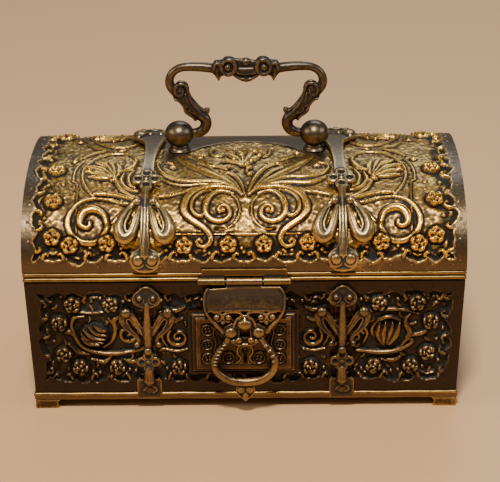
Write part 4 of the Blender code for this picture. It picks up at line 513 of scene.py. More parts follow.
def left_fan(sheet):
    """Leaves and stems that spread from the foot of the middle flower to the left strap."""
    low_leaf = [(-8.8, 35.3), (-16.0, 34.4), (-22.7, 31.9), (-28.1, 30.1), (-31.2, 29.4)]
    sheet.leaf(low_leaf, (0.5, 0.9, 0.9, 0.8, 0.5), 0.95)
    stem = [(-8.0, 36.2), (-15.2, 36.3), (-20.6, 35.6), (-25.6, 36.4), (-29.4, 38.6)]
    sheet.stroke(stem, (0.4, 0.6, 0.6, 0.4), 0.85)
    upper = [
        (-0.4, 30.9), (-3.3, 34.3), (-7.0, 37.0), (-12.5, 38.2), (-18.4, 38.0), (-25.2, 39.4),
        (-29.4, 42.6), (-31.6, 46.6), (-31.9, 49.8), (-30.6, 51.6), (-28.2, 51.0), (-26.4, 49.4),
    ]
    sheet.stroke(upper, (0.5, 0.8, 1.1, 1.1, 1.0, 0.8, 0.6, 0.45), 1.05)
    sheet.groove(upper[1:7], (0.12, 0.25, 0.25, 0.12), 0.22)
    sheet.boss(-26.3, 47.6, (1.35, 1.2), 1.35)
    broad = [
        (-1.0, 31.6), (-5.2, 37.2), (-9.8, 41.2), (-15.4, 45.6), (-20.1, 49.4), (-23.5, 53.4), (-25.6, 57.4),
    ]
    sheet.stroke(broad, (0.5, 1.2, 1.9, 2.2, 1.9, 1.2, 0.4), 0.85, shape=0.8)
    vein = [(-5.0, 38.0), (-9.2, 42.8), (-13.2, 47.6), (-17.2, 53.0), (-21.0, 57.2)]
    sheet.stroke(vein, (0.35, 0.5, 0.55, 0.4), 0.8)
    hook = [(0.2, 31.4), (-0.9, 36.2), (-2.9, 40.8), (-5.3, 42.9), (-7.3, 42.3)]
    sheet.stroke(hook, (0.4, 0.7, 0.8, 0.5), 0.95)
    sheet.stroke([(-0.6, 31.4), (-2.9, 36.4), (-5.2, 39.8), (-7.3, 42.0)], (0.35, 0.5, 0.5, 0.4), 0.8)
    sheet.stroke([(-17.0, 50.6), (-13.6, 48.9), (-9.9, 47.9), (-6.4, 45.9)], (0.4, 0.65, 0.5), 0.75)
    sheet.boss(-16.4, 55.6, (1.2, 1.1), 1.05)
    sheet.stroke([(-14.6, 57.8), (-18.2, 58.8), (-19.4, 56.2), (-17.6, 54.0)], (0.3, 0.5, 0.4), 0.6)


def right_fan(sheet):
    """The same towards the right strap, where the stems differ a little, as they do on the real lid."""
    low_leaf = [(10.4, 35.2), (16.6, 34.5), (20.4, 33.0), (25.0, 32.0), (31.6, 30.0)]
    sheet.leaf(low_leaf, (0.5, 0.9, 1.0, 0.8, 0.5), 0.95)
    lower = [(1.9, 30.6), (5.7, 33.9), (11.1, 36.3), (15.9, 37.1), (22.5, 36.8), (27.1, 38.0), (29.8, 40.0)]
    sheet.stroke(lower, (0.5, 0.9, 1.0, 0.9, 1.2, 0.8), 1.05)
    upper = [
        (2.6, 31.4), (8.9, 37.2), (15.7, 40.4), (22.6, 40.6), (28.1, 42.2), (31.0, 45.4), (30.6, 49.2),
        (27.8, 50.3),
    ]
    sheet.stroke(upper, (0.4, 0.7, 0.8, 0.8, 0.7, 0.5), 0.9)
    sheet.boss(26.9, 48.0, (1.4, 1.1), 1.3)
    broad = [(2.0, 31.4), (5.9, 36.0), (11.2, 40.8), (16.7, 45.8), (21.4, 50.4), (25.6, 55.4)]
    sheet.stroke(broad, (0.5, 1.1, 1.6, 2.0, 1.6, 0.5), 0.85, shape=0.8)
    hook = [(1.5, 31.0), (2.9, 36.4), (5.2, 42.4), (8.5, 47.4), (12.4, 49.6), (14.4, 47.4)]
    sheet.stroke(hook, (0.4, 0.8, 1.0, 0.8, 0.5), 1.0)
    sheet.stroke([(14.3, 47.2), (10.3, 44.2), (6.6, 38.6), (2.6, 32.0)], (0.5, 0.7, 0.7, 0.4), 0.9)
    sheet.stroke([(9.2, 50.4), (13.6, 53.0), (18.8, 56.8)], (0.35, 0.6, 0.4), 0.7)
    sheet.boss(19.8, 59.6, (1.2, 1.0), 1.0)


def middle_flower(sheet):
    """Open flower over the fan, with curled petals and bead-like buds."""
    tips = ((-7.2, 52.6, 1.3), (-5.6, 57.4, 1.4), (-2.2, 61.6, 1.5), (2.8, 62.6, 1.5), (6.6, 58.4, 1.4))
    for x, y, wide in tips:
        petal = [(0.6, 49.0), ((0.6 + x) / 2 + 0.3, (49 + y) / 2 + 0.8), (x, y)]
        sheet.stroke(petal, (0.7, wide, wide * 1.1, 0.7), 1.15, crease=0.4)
        sheet.groove(petal, (0.12, 0.25, 0.15), 0.25)
    for x, y, size in (
        (-1.0, 57.6, 1.5), (-3.9, 53.0, 1.35), (5.6, 56.6, 1.2), (3.9, 60.8, 1.3), (-0.7, 48.4, 1.0),
        (2.1, 42.2, 1.0), (-5.3, 47.0, 1.0), (2.6, 51.8, 1.1), (-7.6, 51.4, 0.8), (2.2, 46.6, 0.8),
    ):
        sheet.boss(x, y, (size, size * 0.9), 1.55, crease=0.4)
    sheet.stroke([(1.4, 47.8), (1.0, 44.4), (1.8, 42.2)], (0.6, 0.5, 0.5), 0.9)
    tendril = [(-7.3, 59.0), (-9.2, 56.6), (-11.5, 57.2), (-12.7, 60.4), (-11.6, 64.4)]
    sheet.stroke(tendril, (0.4, 0.7, 0.5), 0.8)
    sheet.stroke([(7.2, 55.4), (9.2, 57.9), (9.6, 62.4), (8.2, 66.2)], (0.4, 0.7, 0.5), 0.8)
    sheet.stroke([(-3.8, 63.4), (-1.0, 65.6), (2.6, 65.8)], (0.4, 0.8, 0.4), 0.8)


def plain_crown(sheet, back_half):
    """Smooth band behind the crown between the straps, with a curved line cut along each of its edges."""
    beside = (sheet.across - CENTRE_AXIS) ** 2
    between = eased((31.0 - np.abs(sheet.across)) / 1.0)
    behind_crown = (ARCH_LENGTH / 2 - sheet.up) * (1 if back_half else -1)
    past = behind_crown - 10.0 + 0.026 * beside
    short_of = 34.0 + 0.01 * beside - behind_crown
    smooth = eased(past / 0.6) * eased(short_of / 0.6) * between
    sheet.height += (MIDDLE_GROUND + 0.3 - sheet.height) * smooth
    # Painted shade: the band also gets the border value, which makes it darker and greyer for the dark
    # reflection the crown takes from the room behind it.
    sheet.border = np.maximum(sheet.border, 0.85 * smooth)
    sheet.height -= 0.5 * (np.exp(-((past / 0.45) ** 2)) + np.exp(-((short_of / 0.45) ** 2))) * between


def strewn_beads(sheet, places, size=0.75):
    for x, y in places:
        sheet.boss(x, y, (size, size), 1.1, foot=DEEP_GROUND + 0.1, crease=0.2)


def press_lid_half(sheet, back_half):
    """Everything that is stamped on one half of the cover, drawn from its foot to the crown."""
    edges = four_edges(sheet, HALF_WIDTH, ARCH_LENGTH)
    inside = press_border(sheet, edges, TEAR_PITCH_LID, 5 if back_half else 3)
    field = eased((inside - 6.5) / 1.5)
    smooth = field * (np.abs(sheet.across - CENTRE_AXIS) < 7.6) * (sheet.up > 14.2) * (sheet.up < 31.0)
    for side in (-1, 1):
        away = np.hypot(sheet.across - CENTRE_AXIS - side * 8.6, sheet.up - 24.0)
        smooth = smooth * eased((away - 6.9) / 0.5)
    sheet.height += 0.28 * smooth
    cusp_leaves(sheet, HALF_WIDTH, ARCH_LENGTH, TEAR_PITCH_LID)
    press_nails(sheet, [(-75.0 + number * NAIL_PITCH, NAIL_FROM_EDGE) for number in range(21)])
    for side in (-1, 1):
        column = [(side * (HALF_WIDTH - NAIL_FROM_EDGE), 4.0 + number * NAIL_PITCH) for number in range(9)]
        press_nails(sheet, column)
    beads = (
        (-57.0, 8.0), (-55.2, 9.4), (-44.0, 9.0), (-28.0, 8.2), (-26.4, 9.8), (-14.2, 8.0), (-12.4, 7.0),
        (-71.8, 20.8), (-71.4, 36.6), (-66.0, 37.0), (-72.0, 55.0),
    )
    sheet.both_sides(lambda: strewn_beads(sheet, beads))
    strewn_beads(sheet, [(0.0, 7.4), (1.8, 6.6), (14.8, 7.4), (17.2, 8.0), (-0.9, 8.9)])
    sheet.both_sides(lambda: outer_field(sheet))
    for side in (-1, 1):
        sheet.stroke([(side * 31.4, 14.1), (side * 14.6, 14.2)], (0.45, 0.45), 0.55)
    sheet.stroke([(-10.6, 14.1), (0.0, 14.0), (11.6, 14.0)], (0.45, 0.45), 0.6)
    left_fan(sheet)
    right_fan(sheet)
    if not back_half:
        middle_flower(sheet)
    sheet.both_sides(lambda: centre_scrolls(sheet), CENTRE_AXIS)
    plain_crown(sheet, back_half)
    sheet.both_sides(lambda: sheet.roses(LID_ROSES, ROSE_TURN, 0.9))
    sheet.roses(MIDDLE_ROSES, ROSE_TURN, 1.3)


def new_mesh(name, places, faces):
    """Mesh of places in millimetres."""
    mesh = bpy.data.meshes.new(name)
    mesh.from_pydata((np.asarray(places) * MM).tolist(), [], faces)
    return mesh


def note_values(mesh, values, more=0):
    """Notes grids of values on the points of a mesh; the points made after a grid's own have none."""
    for key, grid in values.items():
        layer = mesh.attributes.new(key, "FLOAT", "POINT")
        layer.data.foreach_set("value", np.concatenate([grid.ravel(), np.zeros(more)]).astype(np.float32))


def grid_mesh(name, places, under, values):
    """Closed piece from a grid of places: the worked face, its four edges and a plain back."""
    rows, columns, _ = places.shape
    index = np.arange(rows * columns).reshape(rows, columns)
    quads = np.stack([index[:-1, :-1], index[:-1, 1:], index[1:, 1:], index[1:, :-1]], axis=-1)
    faces = quads.reshape(-1, 4).tolist()
    front = places.reshape(-1, 3)
    loop = np.concatenate([index[0, :], index[1:, -1], index[-1, -2::-1], index[-2:0:-1, 0]])
    back = under.reshape(-1, 3)[loop]
    count = len(front)
    ring = len(loop)
    low = count + np.arange(ring)
    following = np.roll(np.arange(ring), -1)
    faces += np.stack([loop[following], loop, low, low[following]], axis=-1).tolist()
    left = [int(low[(ring - number) % ring]) for number in range(rows)]
    right = [int(low[columns - 1 + number]) for number in range(rows)]
    first = [int(low[number]) for number in range(columns)]
    last = [int(low[columns - 1 + rows - 1 + number]) for number in range(columns)]
    faces.append(first[::-1] + [left[1], right[1]])
    for number in range(1, rows - 2):
        faces.append([left[number], left[number + 1], right[number + 1], right[number]])
    faces.append([right[-2], left[-2]] + last[::-1])
    mesh = new_mesh(name, np.vstack([front, back]), faces)
    note_values(mesh, values, ring)
    mesh.shade_smooth()
    mesh.set_sharp_from_angle(angle=math.radians(70))
    mesh.validate()
    return mesh


def worked_values(sheet):
    """What the patina follows: how high a place stands, how far it lies in a hollow, and plain border, whose
    value also carries painted shade.
    """
    height = sheet.height
    near = softened(height, 1)
    lower = softened(height, RELIEF_REACH)
    wide = softened(height, RELIEF_REACH * 4)
    deep = np.clip((MIDDLE_GROUND - 0.22 - near) / 0.4, 0, 1)
    hollow = (lower - height) * 1.1 + (wide - height) * 0.22 + (near - height) * 1.6 + 0.36 * deep
    proud = (height - lower) * 1.1 + (height - wide) * 0.4 + (height - near) * 2.0
    return {"hollow": np.clip(hollow, 0, 1), "proud": np.clip(proud, 0, 1), "border": sheet.border}


def add_piece(name, mesh, body, slot, material, *nodes):
    """Object of one finished piece, which rides on its body and stands for its CAD nodes."""
    item = add_object(name, mesh)
    mesh.materials.clear()
    mesh.materials.append(material)
    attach(item, body)
    if nodes:
        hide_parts(*nodes)
    return item


def add_node(tree, kind, **settings):
    node = tree.nodes.new(kind)
    for key, value in settings.items():
        setattr(node, key, value)
    return node


def wire(tree, value, target):
    """Gives an input a plain number or colour, or links it to what comes out of another node."""
    if isinstance(value, (int, float)):
        target.default_value = value
    elif isinstance(value, tuple):
        target.default_value = (*value, 1)
    else:
        tree.links.new(getattr(value, "socket", value), target)


class Flow:
    """Number that comes out of a node; its sums, differences and products are made by Math nodes."""

    def __init__(self, tree, socket):
        self.tree = tree
        self.socket = socket

    def joined(self, operation, *values):
        node = add_node(self.tree, "ShaderNodeMath", operation=operation)
        for value, target in zip(values, node.inputs):
            wire(self.tree, value, target)
        return Flow(self.tree, node.outputs[0])

    def __add__(self, other):
        return self.joined("ADD", self, other)

    def __sub__(self, other):
        return self.joined("SUBTRACT", self, other)

    def __rsub__(self, other):
        return self.joined("SUBTRACT", other, self)

    def __mul__(self, other):
        return self.joined("MULTIPLY", self, other)

    def kept(self):
        """The same number, kept between zero and one."""
        self.socket.node.use_clamp = True
        return self


def blended(tree, factor, first, second):
    """Mix of two colours."""
    node = add_node(tree, "ShaderNodeMix", data_type="RGBA")
    for value, number in ((factor, 0), (first, 6), (second, 7)):
        wire(tree, value, node.inputs[number])
    return node.outputs[2]


def noise_at(tree, place, scale, detail, roughness=0.55):
    node = add_node(tree, "ShaderNodeTexNoise")
    for key, value in (("Vector", place), ("Scale", scale), ("Detail", detail), ("Roughness", roughness)):
        wire(tree, value, node.inputs[key])
    return Flow(tree, node.outputs["Fac"])


def patches(pattern, level, sharpness):
    """The parts of a pattern above a level."""
    return ((pattern - level).kept() * sharpness).kept()


def new_finish_group(name, numbers, colours, results):
    """Empty node group with its named inputs, a colour and other results, and the places on the object."""
    tree = bpy.data.node_groups.new(name, "ShaderNodeTree")
    for kind, inputs in (("NodeSocketFloat", numbers), ("NodeSocketColor", colours)):
        for key, value in inputs.items():
            tree.interface.new_socket(key, in_out="INPUT", socket_type=kind).default_value = value
    tree.interface.new_socket("Color", in_out="OUTPUT", socket_type="NodeSocketColor")
    for key in results:
        tree.interface.new_socket(key, in_out="OUTPUT", socket_type="NodeSocketFloat")
    given = {socket.name: Flow(tree, socket) for socket in tree.nodes.new("NodeGroupInput").outputs}
    result = tree.nodes.new("NodeGroupOutput").inputs
    place = add_node(tree, "ShaderNodeTexCoord").outputs["Object"]
    return tree, given, result, place


def build_aged_brass():
    """Group: rubbed gold on what stands proud, brown patina on the rest, black dirt in the hollows, which
    also paints shade where a piece notes shade as hollow, and a duller, greyer border, partly painted shade.
    """
    tree, given, result, place = new_finish_group(
        "aged_brass",
        {
            "Proud": 0.0, "Hollow": 0.0, "Border": 0.0,
            "Rubbed": 0.5, "Dirt": 0.6, "Verdigris": 0.2, "Uneven": 1.0,
        },
        {"Gold": (0.78, 0.52, 0.17, 1), "Brown": (0.28, 0.17, 0.06, 1)},
        ("Roughness", "Metallic", "Height"),
    )
    broad = noise_at(tree, place, 38.0, 3.0)
    patchy = noise_at(tree, place, 190.0, 4.0, 0.65)
    fine = noise_at(tree, place, 900.0, 3.0, 0.6)
    grain = noise_at(tree, place, 2600.0, 2.0, 0.6)
    stain = (patchy - 0.5) * 1.1 + (broad - 0.5) * 1.2 + (fine - 0.5)
    rub = given["Proud"] * 0.6 + stain * given["Uneven"] + (given["Rubbed"] - 0.5)
    # The border value lowers the rub and greys the colour: partly the plain border's own duller patina,
    # partly painted shade, as on the crown band.
    rub = (rub - given["Border"] * 0.62 - given["Hollow"] * 0.9).kept()
    greyed = add_node(tree, "ShaderNodeHueSaturation")
    greyed.inputs["Saturation"].default_value = 0.78
    greyed.inputs["Value"].default_value = 0.8
    wire(tree, given["Border"], greyed.inputs["Fac"])
    wire(tree, blended(tree, rub, given["Brown"], given["Gold"]), greyed.inputs["Color"])
    metal = greyed.outputs["Color"]
    # Black in the hollows: real dirt, and painted shade where a piece notes shade as hollow, as on the knobs'
    # seats.
    soil = (given["Hollow"] * (given["Dirt"] * 2.3) + (patchy - 0.52) * 0.5).kept()
    dirty = blended(tree, soil, metal, (0.016, 0.011, 0.008))
    green = patches(broad, 0.49, 6.0) * (given["Hollow"] * 1.6).kept()
    green = (green * given["Verdigris"]).kept()
    wire(tree, blended(tree, green, dirty, (0.05, 0.075, 0.09)), result["Color"])
    rough = (soil * 0.36 + 0.36 + (fine - 0.4) * 0.3).kept()
    wire(tree, rough - rub * 0.12, result["Roughness"])
    wire(tree, 1.0 - soil * 0.5, result["Metallic"])
    wire(tree, patchy * 0.8 + fine + grain * 0.2, result["Height"])
    return tree


AGED_BRASS = build_aged_brass()


def add_grain(tree, shader, height, strength, depth):
    """Fine unevenness of a surface, with its depth in metres."""
    bump = add_node(tree, "ShaderNodeBump")
    bump.inputs["Strength"].default_value = strength
    bump.inputs["Distance"].default_value = depth
    wire(tree, height, bump.inputs["Height"])
    wire(tree, bump.outputs["Normal"], shader.inputs["Normal"])


def brass(name, gold, brown, rubbed, dirt, verdigris, grain=0.00012, uneven=1.0):
    """Brass finish of a group of pieces, which follows the hollows and high places noted in their meshes."""
    material, tree, shader = new_material(name)
    group = add_node(tree, "ShaderNodeGroup", node_tree=AGED_BRASS)
    for key, value in (("Rubbed", rubbed), ("Dirt", dirt), ("Verdigris", verdigris), ("Uneven", uneven)):
        group.inputs[key].default_value = value
    group.inputs["Gold"].default_value = (*gold, 1)
    group.inputs["Brown"].default_value = (*brown, 1)
    for key in ("proud", "hollow", "border"):
        value = add_node(tree, "ShaderNodeAttribute", attribute_name=key)
        wire(tree, value.outputs["Fac"], group.inputs[key.capitalize()])
    for key, target in (("Color", "Base Color"), ("Roughness", "Roughness"), ("Metallic", "Metallic")):
        wire(tree, group.outputs[key], shader.inputs[target])
    add_grain(tree, shader, group.outputs["Height"], 0.6, grain)
    return material


LID_BRASS = brass(
    "lid_cover_brass", gold=(0.92, 0.54, 0.105), brown=(0.175, 0.108, 0.044),
    rubbed=0.88, dirt=0.66, verdigris=0.6, grain=0.00017,
)


def worked_height(sheet):
    """The sheet's heights, which stay a little above its back."""
    return np.maximum(sheet.height, SHEET_LEAST - SHEET_THICKNESS)


def build_lid_cover():
    for back_half in (False, True):
        sheet = Sheet(HALF_WIDTH - SHEET_SHRINK, 0.0, ARCH_LENGTH / 2, SHEET_PITCH)
        press_lid_half(sheet, back_half)
        height = worked_height(sheet)
        values = worked_values(sheet)
        run = ARCH_LENGTH - sheet.up if back_half else sheet.up
        places = over_arch(sheet.across, run, height)
        under = over_arch(sheet.across, run, np.full_like(height, -SHEET_THICKNESS))
        if back_half:
            places = places[:, ::-1]
            under = under[:, ::-1]
            values = {key: grid[:, ::-1] for key, grid in values.items()}
        name = "lid_cover_back" if back_half else "lid_cover_front"
        mesh = grid_mesh(name, places, under, values)
        add_piece(name, mesh, "lid", "stamped_brass_lid", LID_BRASS, "lid_cover")


build_lid_cover()

# Case walls and lid ends
# Four stamped sheets like the lid's cover clad the case, and two close the ends of the lid. Each has a
# plain border with a torn edge, roses along it and a rose bud among leafy branches in every field.
panel_low, panel_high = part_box("case_panel_front")
WALL_BOTTOM = panel_low.z / MM
WALL_HALF_WIDTH_TOP = panel_high.x / MM
LEAN_SIDE = 1.6
LEAN_FRONT = 1.8
WALL_INSET = 0.2
CORNER_ROOM = 1.8
END_HALF_TOP = HALF_DEPTH - WALL_INSET - CORNER_ROOM
WALL_HALF_DEPTH_BOTTOM = HALF_DEPTH - WALL_INSET - LEAN_FRONT
WALL_RISE = 44.9
FRONT_TILT = math.atan2(LEAN_FRONT, WALL_RISE)
SIDE_TILT = math.atan2(LEAN_SIDE, WALL_RISE)
FRONT_SLOPE = math.hypot(LEAN_FRONT, WALL_RISE)
SIDE_SLOPE = math.hypot(LEAN_SIDE, WALL_RISE)
WALL_HALF_WIDTH_BOTTOM = WALL_HALF_WIDTH_TOP - LEAN_SIDE
END_ROSE_RISE = 1.75
END_PROUD = 0.36
# The case walls' brass is much darker than the lid's: partly a dark oxide, partly painted shade for the shade
# on the case front under the lid.
WALL_BRASS = brass(
    "case_wall_brass", gold=(0.42, 0.26, 0.10), brown=(0.060, 0.037, 0.024),
    rubbed=0.36, dirt=0.7, verdigris=0.5,
)


def on_wall(across, up, out, side="front"):
    """Flat places, in millimetres, stood on a wall of the case: across it, up it and out of it."""
    if side in ("front", "back"):
        tilt, stand = FRONT_TILT, WALL_HALF_DEPTH_BOTTOM
    else:
        tilt, stand = SIDE_TILT, WALL_HALF_WIDTH_BOTTOM
    y = -stand - up * math.sin(tilt) - out * math.cos(tilt)
    z = WALL_BOTTOM + up * math.cos(tilt) - out * math.sin(tilt)
    turn = {"front": 0.0, "right": math.pi / 2, "back": math.pi, "left": -math.pi / 2}[side]
    turned_x = across * math.cos(turn) - y * math.sin(turn)
    turned_y = across * math.sin(turn) + y * math.cos(turn)
    return np.stack([turned_x, turned_y + CASE_MIDDLE_Y, z], axis=-1)


WALL_ROSES = ((-48.9, 36.0), (-62.9, 36.0), (-68.2, 28.4), (-67.6, 15.6), (-61.8, 10.2), (-47.9, 10.3))
END_ROSES = ((-12.1, 36.0), (-26.1, 36.0), (-36.1, 29.0), (-35.9, 16.0), (-26.1, 9.9), (-12.1, 9.9))


def rose_bud(sheet, x, y, size=1.0, rise=2.4):
    """Half-open rose bud of overlapping petals, tips to the upper left."""
    def beside(points):
        return [(x + size * across, y + size * up) for across, up in points]

    foot = MIDDLE_GROUND - 0.2
    petals = (
        (((2.6, -3.2), (-2.6, -2.2), (-5.2, 0.8)), 1.7, 0.95),
        (((3.6, -1.8), (-1.4, -0.6), (-4.2, 2.2)), 1.6, 1.01),
        (((4.4, -0.2), (0.4, 0.8), (-2.4, 3.6)), 1.6, 0.95),
        (((4.2, 1.6), (1.8, 2.2), (-0.2, 4.2)), 1.3, 1.01),
        (((1.2, -4.0), (-3.0, -3.4), (-5.0, -1.2)), 1.2, 0.95),
    )
    sheet.boss(x, y, (5.4 * size, 4.7 * size), rise * 0.72, foot=foot, crease=0.4)
    for points, wide, high in petals:
        sheet.stroke(beside(points), (0.6 * size, wide * size, 0.45 * size), rise * high, foot, 0.5)
    for points in (((2.2, -1.4), (-2.8, 1.0)), ((2.8, 0.4), (-1.2, 2.4)), ((1.4, -2.8), (-3.6, -0.8))):
        sheet.groove(beside(points), (0.15, 0.28, 0.15), 0.28)


def bud_field(sheet):
    """Leafy branches and a bud, as on the left half of the front wall."""
    branch = [(-66.2, 25.4), (-63.4, 24.4), (-61.4, 20.4), (-57.6, 17.4), (-50.2, 15.9), (-43.0, 16.8)]
    sheet.stroke(branch, (1.2, 1.0, 0.9, 1.0, 0.7), 1.5, crease=0.4)
    sheet.leaf([(-65.4, 20.0), (-62.2, 16.8), (-58.0, 16.0)], (0.4, 1.1, 0.5), 1.2)
    sheet.leaf([(-57.4, 13.8), (-52.6, 12.6), (-49.6, 15.4)], (0.4, 1.1, 0.5), 1.3)
    sheet.stroke([(-58.8, 31.4), (-62.4, 30.8), (-63.8, 27.6), (-62.8, 24.6)], (0.5, 0.9, 0.6), 1.1)
    sheet.stroke([(-62.2, 33.2), (-56.0, 32.6), (-51.0, 33.2)], (0.4, 0.7, 0.4), 0.9)
    sheet.stroke([(-49.8, 30.4), (-47.8, 26.0), (-49.4, 21.2), (-52.4, 18.8)], (0.5, 1.0, 0.6), 1.1)
    sheet.scroll(-43.4, 24.2, 4.4, 1.35, -1, 1.2, (1.0, 0.9, 0.7), 1.25)
    sheet.leaf([(-45.0, 31.4), (-48.0, 29.6), (-47.2, 26.2)], (0.4, 1.0, 0.4), 1.0)
    sheet.stroke([(-43.0, 16.6), (-38.6, 17.6), (-35.0, 19.6)], (0.7, 0.7, 0.4), 1.2)
    sheet.leaf([(-46.4, 13.8), (-42.2, 12.4), (-39.2, 13.6)], (0.4, 0.9, 0.4), 1.1)
    rose_bud(sheet, -55.3, 24.0)


def tulip_field(sheet):
    """The right half of the front wall: an upright bud held in a ring of leaves."""
    stem = [(41.2, 16.9), (49.2, 15.9), (56.2, 16.6), (61.8, 20.0), (59.6, 22.2)]
    sheet.stroke(stem, (0.7, 1.0, 1.0, 0.8), 1.45)
    ring = [(49.6, 20.6), (46.8, 24.4), (48.0, 28.0), (52.6, 30.4), (57.2, 28.8)]
    sheet.stroke(ring, (0.6, 0.9, 0.9, 0.5), 1.2)
    sheet.leaf([(57.8, 18.6), (60.8, 23.4), (58.8, 28.4), (60.4, 31.6)], (0.5, 1.3, 1.2, 0.4), 1.25)
    sheet.leaf([(60.8, 22.6), (65.4, 23.6), (68.0, 26.0)], (0.5, 1.0, 0.4), 1.2)
    sheet.stroke([(42.4, 27.8), (45.0, 24.0), (43.8, 20.0)], (0.4, 0.9, 0.5), 1.1)
    sheet.scroll(41.0, 22.8, 2.8, 1.3, 1, 0.4, (0.8, 0.8, 0.6), 1.25)
    sheet.stroke([(46.0, 32.6), (52.0, 33.4), (59.0, 33.0), (63.6, 31.6)], (0.4, 0.8, 0.7, 0.4), 1.0)
    sheet.leaf([(50.0, 13.0), (55.2, 12.4), (58.4, 14.4)], (0.4, 1.0, 0.4), 1.2)
    sheet.boss(52.8, 23.6, (4.7, 4.6), 1.6, 0.3, MIDDLE_GROUND - 0.2, 0.4)
    for across, tip in ((-3.6, -3.4), (-1.6, -1.2), (0.8, 1.4), (3.0, 4.0)):
        petal = [(52.2 + across * 0.4, 19.6), (52.8 + across, 23.4), (52.8 + tip, 28.2)]
        sheet.stroke(petal, (0.7, 1.6, 0.5), 2.3, MIDDLE_GROUND - 0.2, 0.5)
        sheet.groove(petal, (0.1, 0.24, 0.1), 0.25)


def beside_lock(sheet):
    """Scroll and rib work between a strap and the lock."""
    sheet.scroll(-24.6, 22.6, 4.2, 1.5, 1, 2.4, (0.9, 0.9, 0.6), 1.2)
    sheet.stroke([(-30.6, 30.0), (-26.4, 29.0), (-22.8, 30.4)], (0.5, 0.9, 0.5), 1.1)
    sheet.stroke([(-29.6, 17.6), (-25.4, 16.8), (-21.4, 17.6)], (0.5, 0.7, 0.5), 1.0)
    sheet.stroke([(-30.2, 26.6), (-30.8, 22.4), (-29.0, 19.0)], (0.4, 0.8, 0.4), 1.0)
    sheet.leaf([(-29.4, 34.6), (-25.4, 33.4), (-21.8, 34.8)], (0.4, 1.0, 0.4), 1.2)


def fill_with_leaflets(sheet, seed, count=260):
    """Small curled leaves pressed into the ground wherever the main relief leaves room."""
    chance = np.random.default_rng(seed)
    low = np.array((sheet.x[0], sheet.y[0])) + BORDER_WIDTH + 3.2
    high = np.array((sheet.x[-1], sheet.y[-1])) - BORDER_WIDTH - 3.2
    for x, y, turn, length in chance.uniform((*low, 0.0, 2.2), (*high, 2 * math.pi, 3.6), (count, 4)):
        area = sheet.window((x - 1.2, y - 1.2), (x + 1.2, y + 1.2))
        if sheet.taken[area].mean() > 0.12:
            continue
        points = []
        for share in (-0.5, 0.0, 0.5):
            bow = 0.22 * length * (1 - 4 * share * share)
            points.append((x + share * length * math.cos(turn) - bow * math.sin(turn),
                           y + share * length * math.sin(turn) + bow * math.cos(turn)))
        sheet.stroke(points, (0.25, 0.75, 0.6, 0.2), 0.75, MIDDLE_GROUND - 0.12, crease=0.22, shape=0.7)


def wall_sheet(half, rise, seed):
    """Sheet for a wall of the case, with its border, leaf tips and nails."""
    sheet = Sheet(half, 0.0, rise, SHEET_PITCH)
    press_border(sheet, four_edges(sheet, half, rise), TEAR_PITCH_CASE, seed, MIDDLE_GROUND - 0.1)
    cusp_leaves(sheet, half, rise, TEAR_PITCH_CASE)
    first = -half + 4
    count = round(-2 * first / NAIL_PITCH)
    step = -2 * first / count
    for up in (2.0, rise - 2.4):
        press_nails(sheet, [(first + number * step, up) for number in range(count + 1)])
    for side in (-1, 1):
        press_nails(sheet, [(side * (half - 2.4), 8.0 + number * NAIL_PITCH) for number in range(5)])
    return sheet


def front_or_back(side):
    half = WALL_HALF_WIDTH_TOP
    sheet = wall_sheet(half, FRONT_SLOPE, 11 if side == "front" else 12)
    sheet.both_sides(lambda: beside_lock(sheet))
    if side == "front":
        bud_field(sheet)
        tulip_field(sheet)
    else:
        sheet.both_sides(lambda: bud_field(sheet))
        sheet.scroll(-9.0, 22.4, 6.6, 1.6, 1, 0.5, (1.1, 1.0, 0.7), 1.3)
        sheet.scroll(9.0, 22.4, 6.6, 1.6, -1, math.pi - 0.5, (1.1, 1.0, 0.7), 1.3)
        sheet.leaf([(-2.0, 30.0), (0.0, 35.6), (2.0, 30.0)], (0.5, 1.3, 0.5), 1.2)
        sheet.leaf([(-2.0, 14.0), (0.0, 9.0), (2.0, 14.0)], (0.5, 1.3, 0.5), 1.2)
        for up, turn in ((10.0, 0.4), (36.0, 0.9)):
            sheet.roses([(x, up) for x in (-22.0, -8.0, 8.0, 22.0)], turn, 1.0)
    beads = (
        (-58.4, 37.0), (-55.8, 37.3), (-44.2, 36.9), (-42.4, 37.3), (-57.2, 8.3), (-54.6, 7.7), (-43.4, 8.9),
        (-41.0, 8.5), (-29.4, 9.3), (-27.2, 8.8), (-30.4, 37.2), (-27.9, 37.4), (-21.0, 37.0), (-72.9, 25.4),
        (-72.0, 12.0), (-66.2, 9.6), (-70.8, 20.9), (-66.6, 39.2), (-52.4, 38.4),
    )
    sheet.both_sides(lambda: strewn_beads(sheet, beads, 0.85))
    sheet.both_sides(lambda: sheet.roses(WALL_ROSES, 0.5, 1.1))
    if side == "front":
        sheet.roses(((-24.8, 9.9), (24.3, 9.9)), 0.2, 0.0)
    fill_with_leaflets(sheet, 31 if side == "front" else 32)
    return sheet


def case_end():
    """Sheet for both ends of the case, whose relief is kept low, so that it stays within the rims."""
    sheet = wall_sheet(END_HALF_TOP, SIDE_SLOPE, 13)

    def field():
        sheet.stroke([(0.0, 13.4), (-8.0, 14.2), (-17.0, 17.4), (-24.0, 24.4)], (0.6, 1.0, 1.0, 0.5), 1.2)
        sheet.scroll(-22.0, 24.0, 5.2, 1.5, -1, 2.6, (0.9, 0.9, 0.6), 1.1)
        sheet.leaf([(-9.0, 20.0), (-12.0, 26.0), (-9.6, 31.4)], (0.5, 1.2, 0.4), 1.1)
        sheet.stroke([(-6.0, 33.2), (-12.0, 31.4), (-18.4, 32.4)], (0.4, 0.8, 0.4), 0.9)
        sheet.roses(END_ROSES, 0.5, 1.1, rise=END_ROSE_RISE)

    sheet.both_sides(field)
    rose_bud(sheet, 0.0, 23.6, 1.0, END_ROSE_RISE)
    fill_with_leaflets(sheet, 33, 200)
    sheet.height = np.minimum(sheet.height, END_PROUD)
    return sheet


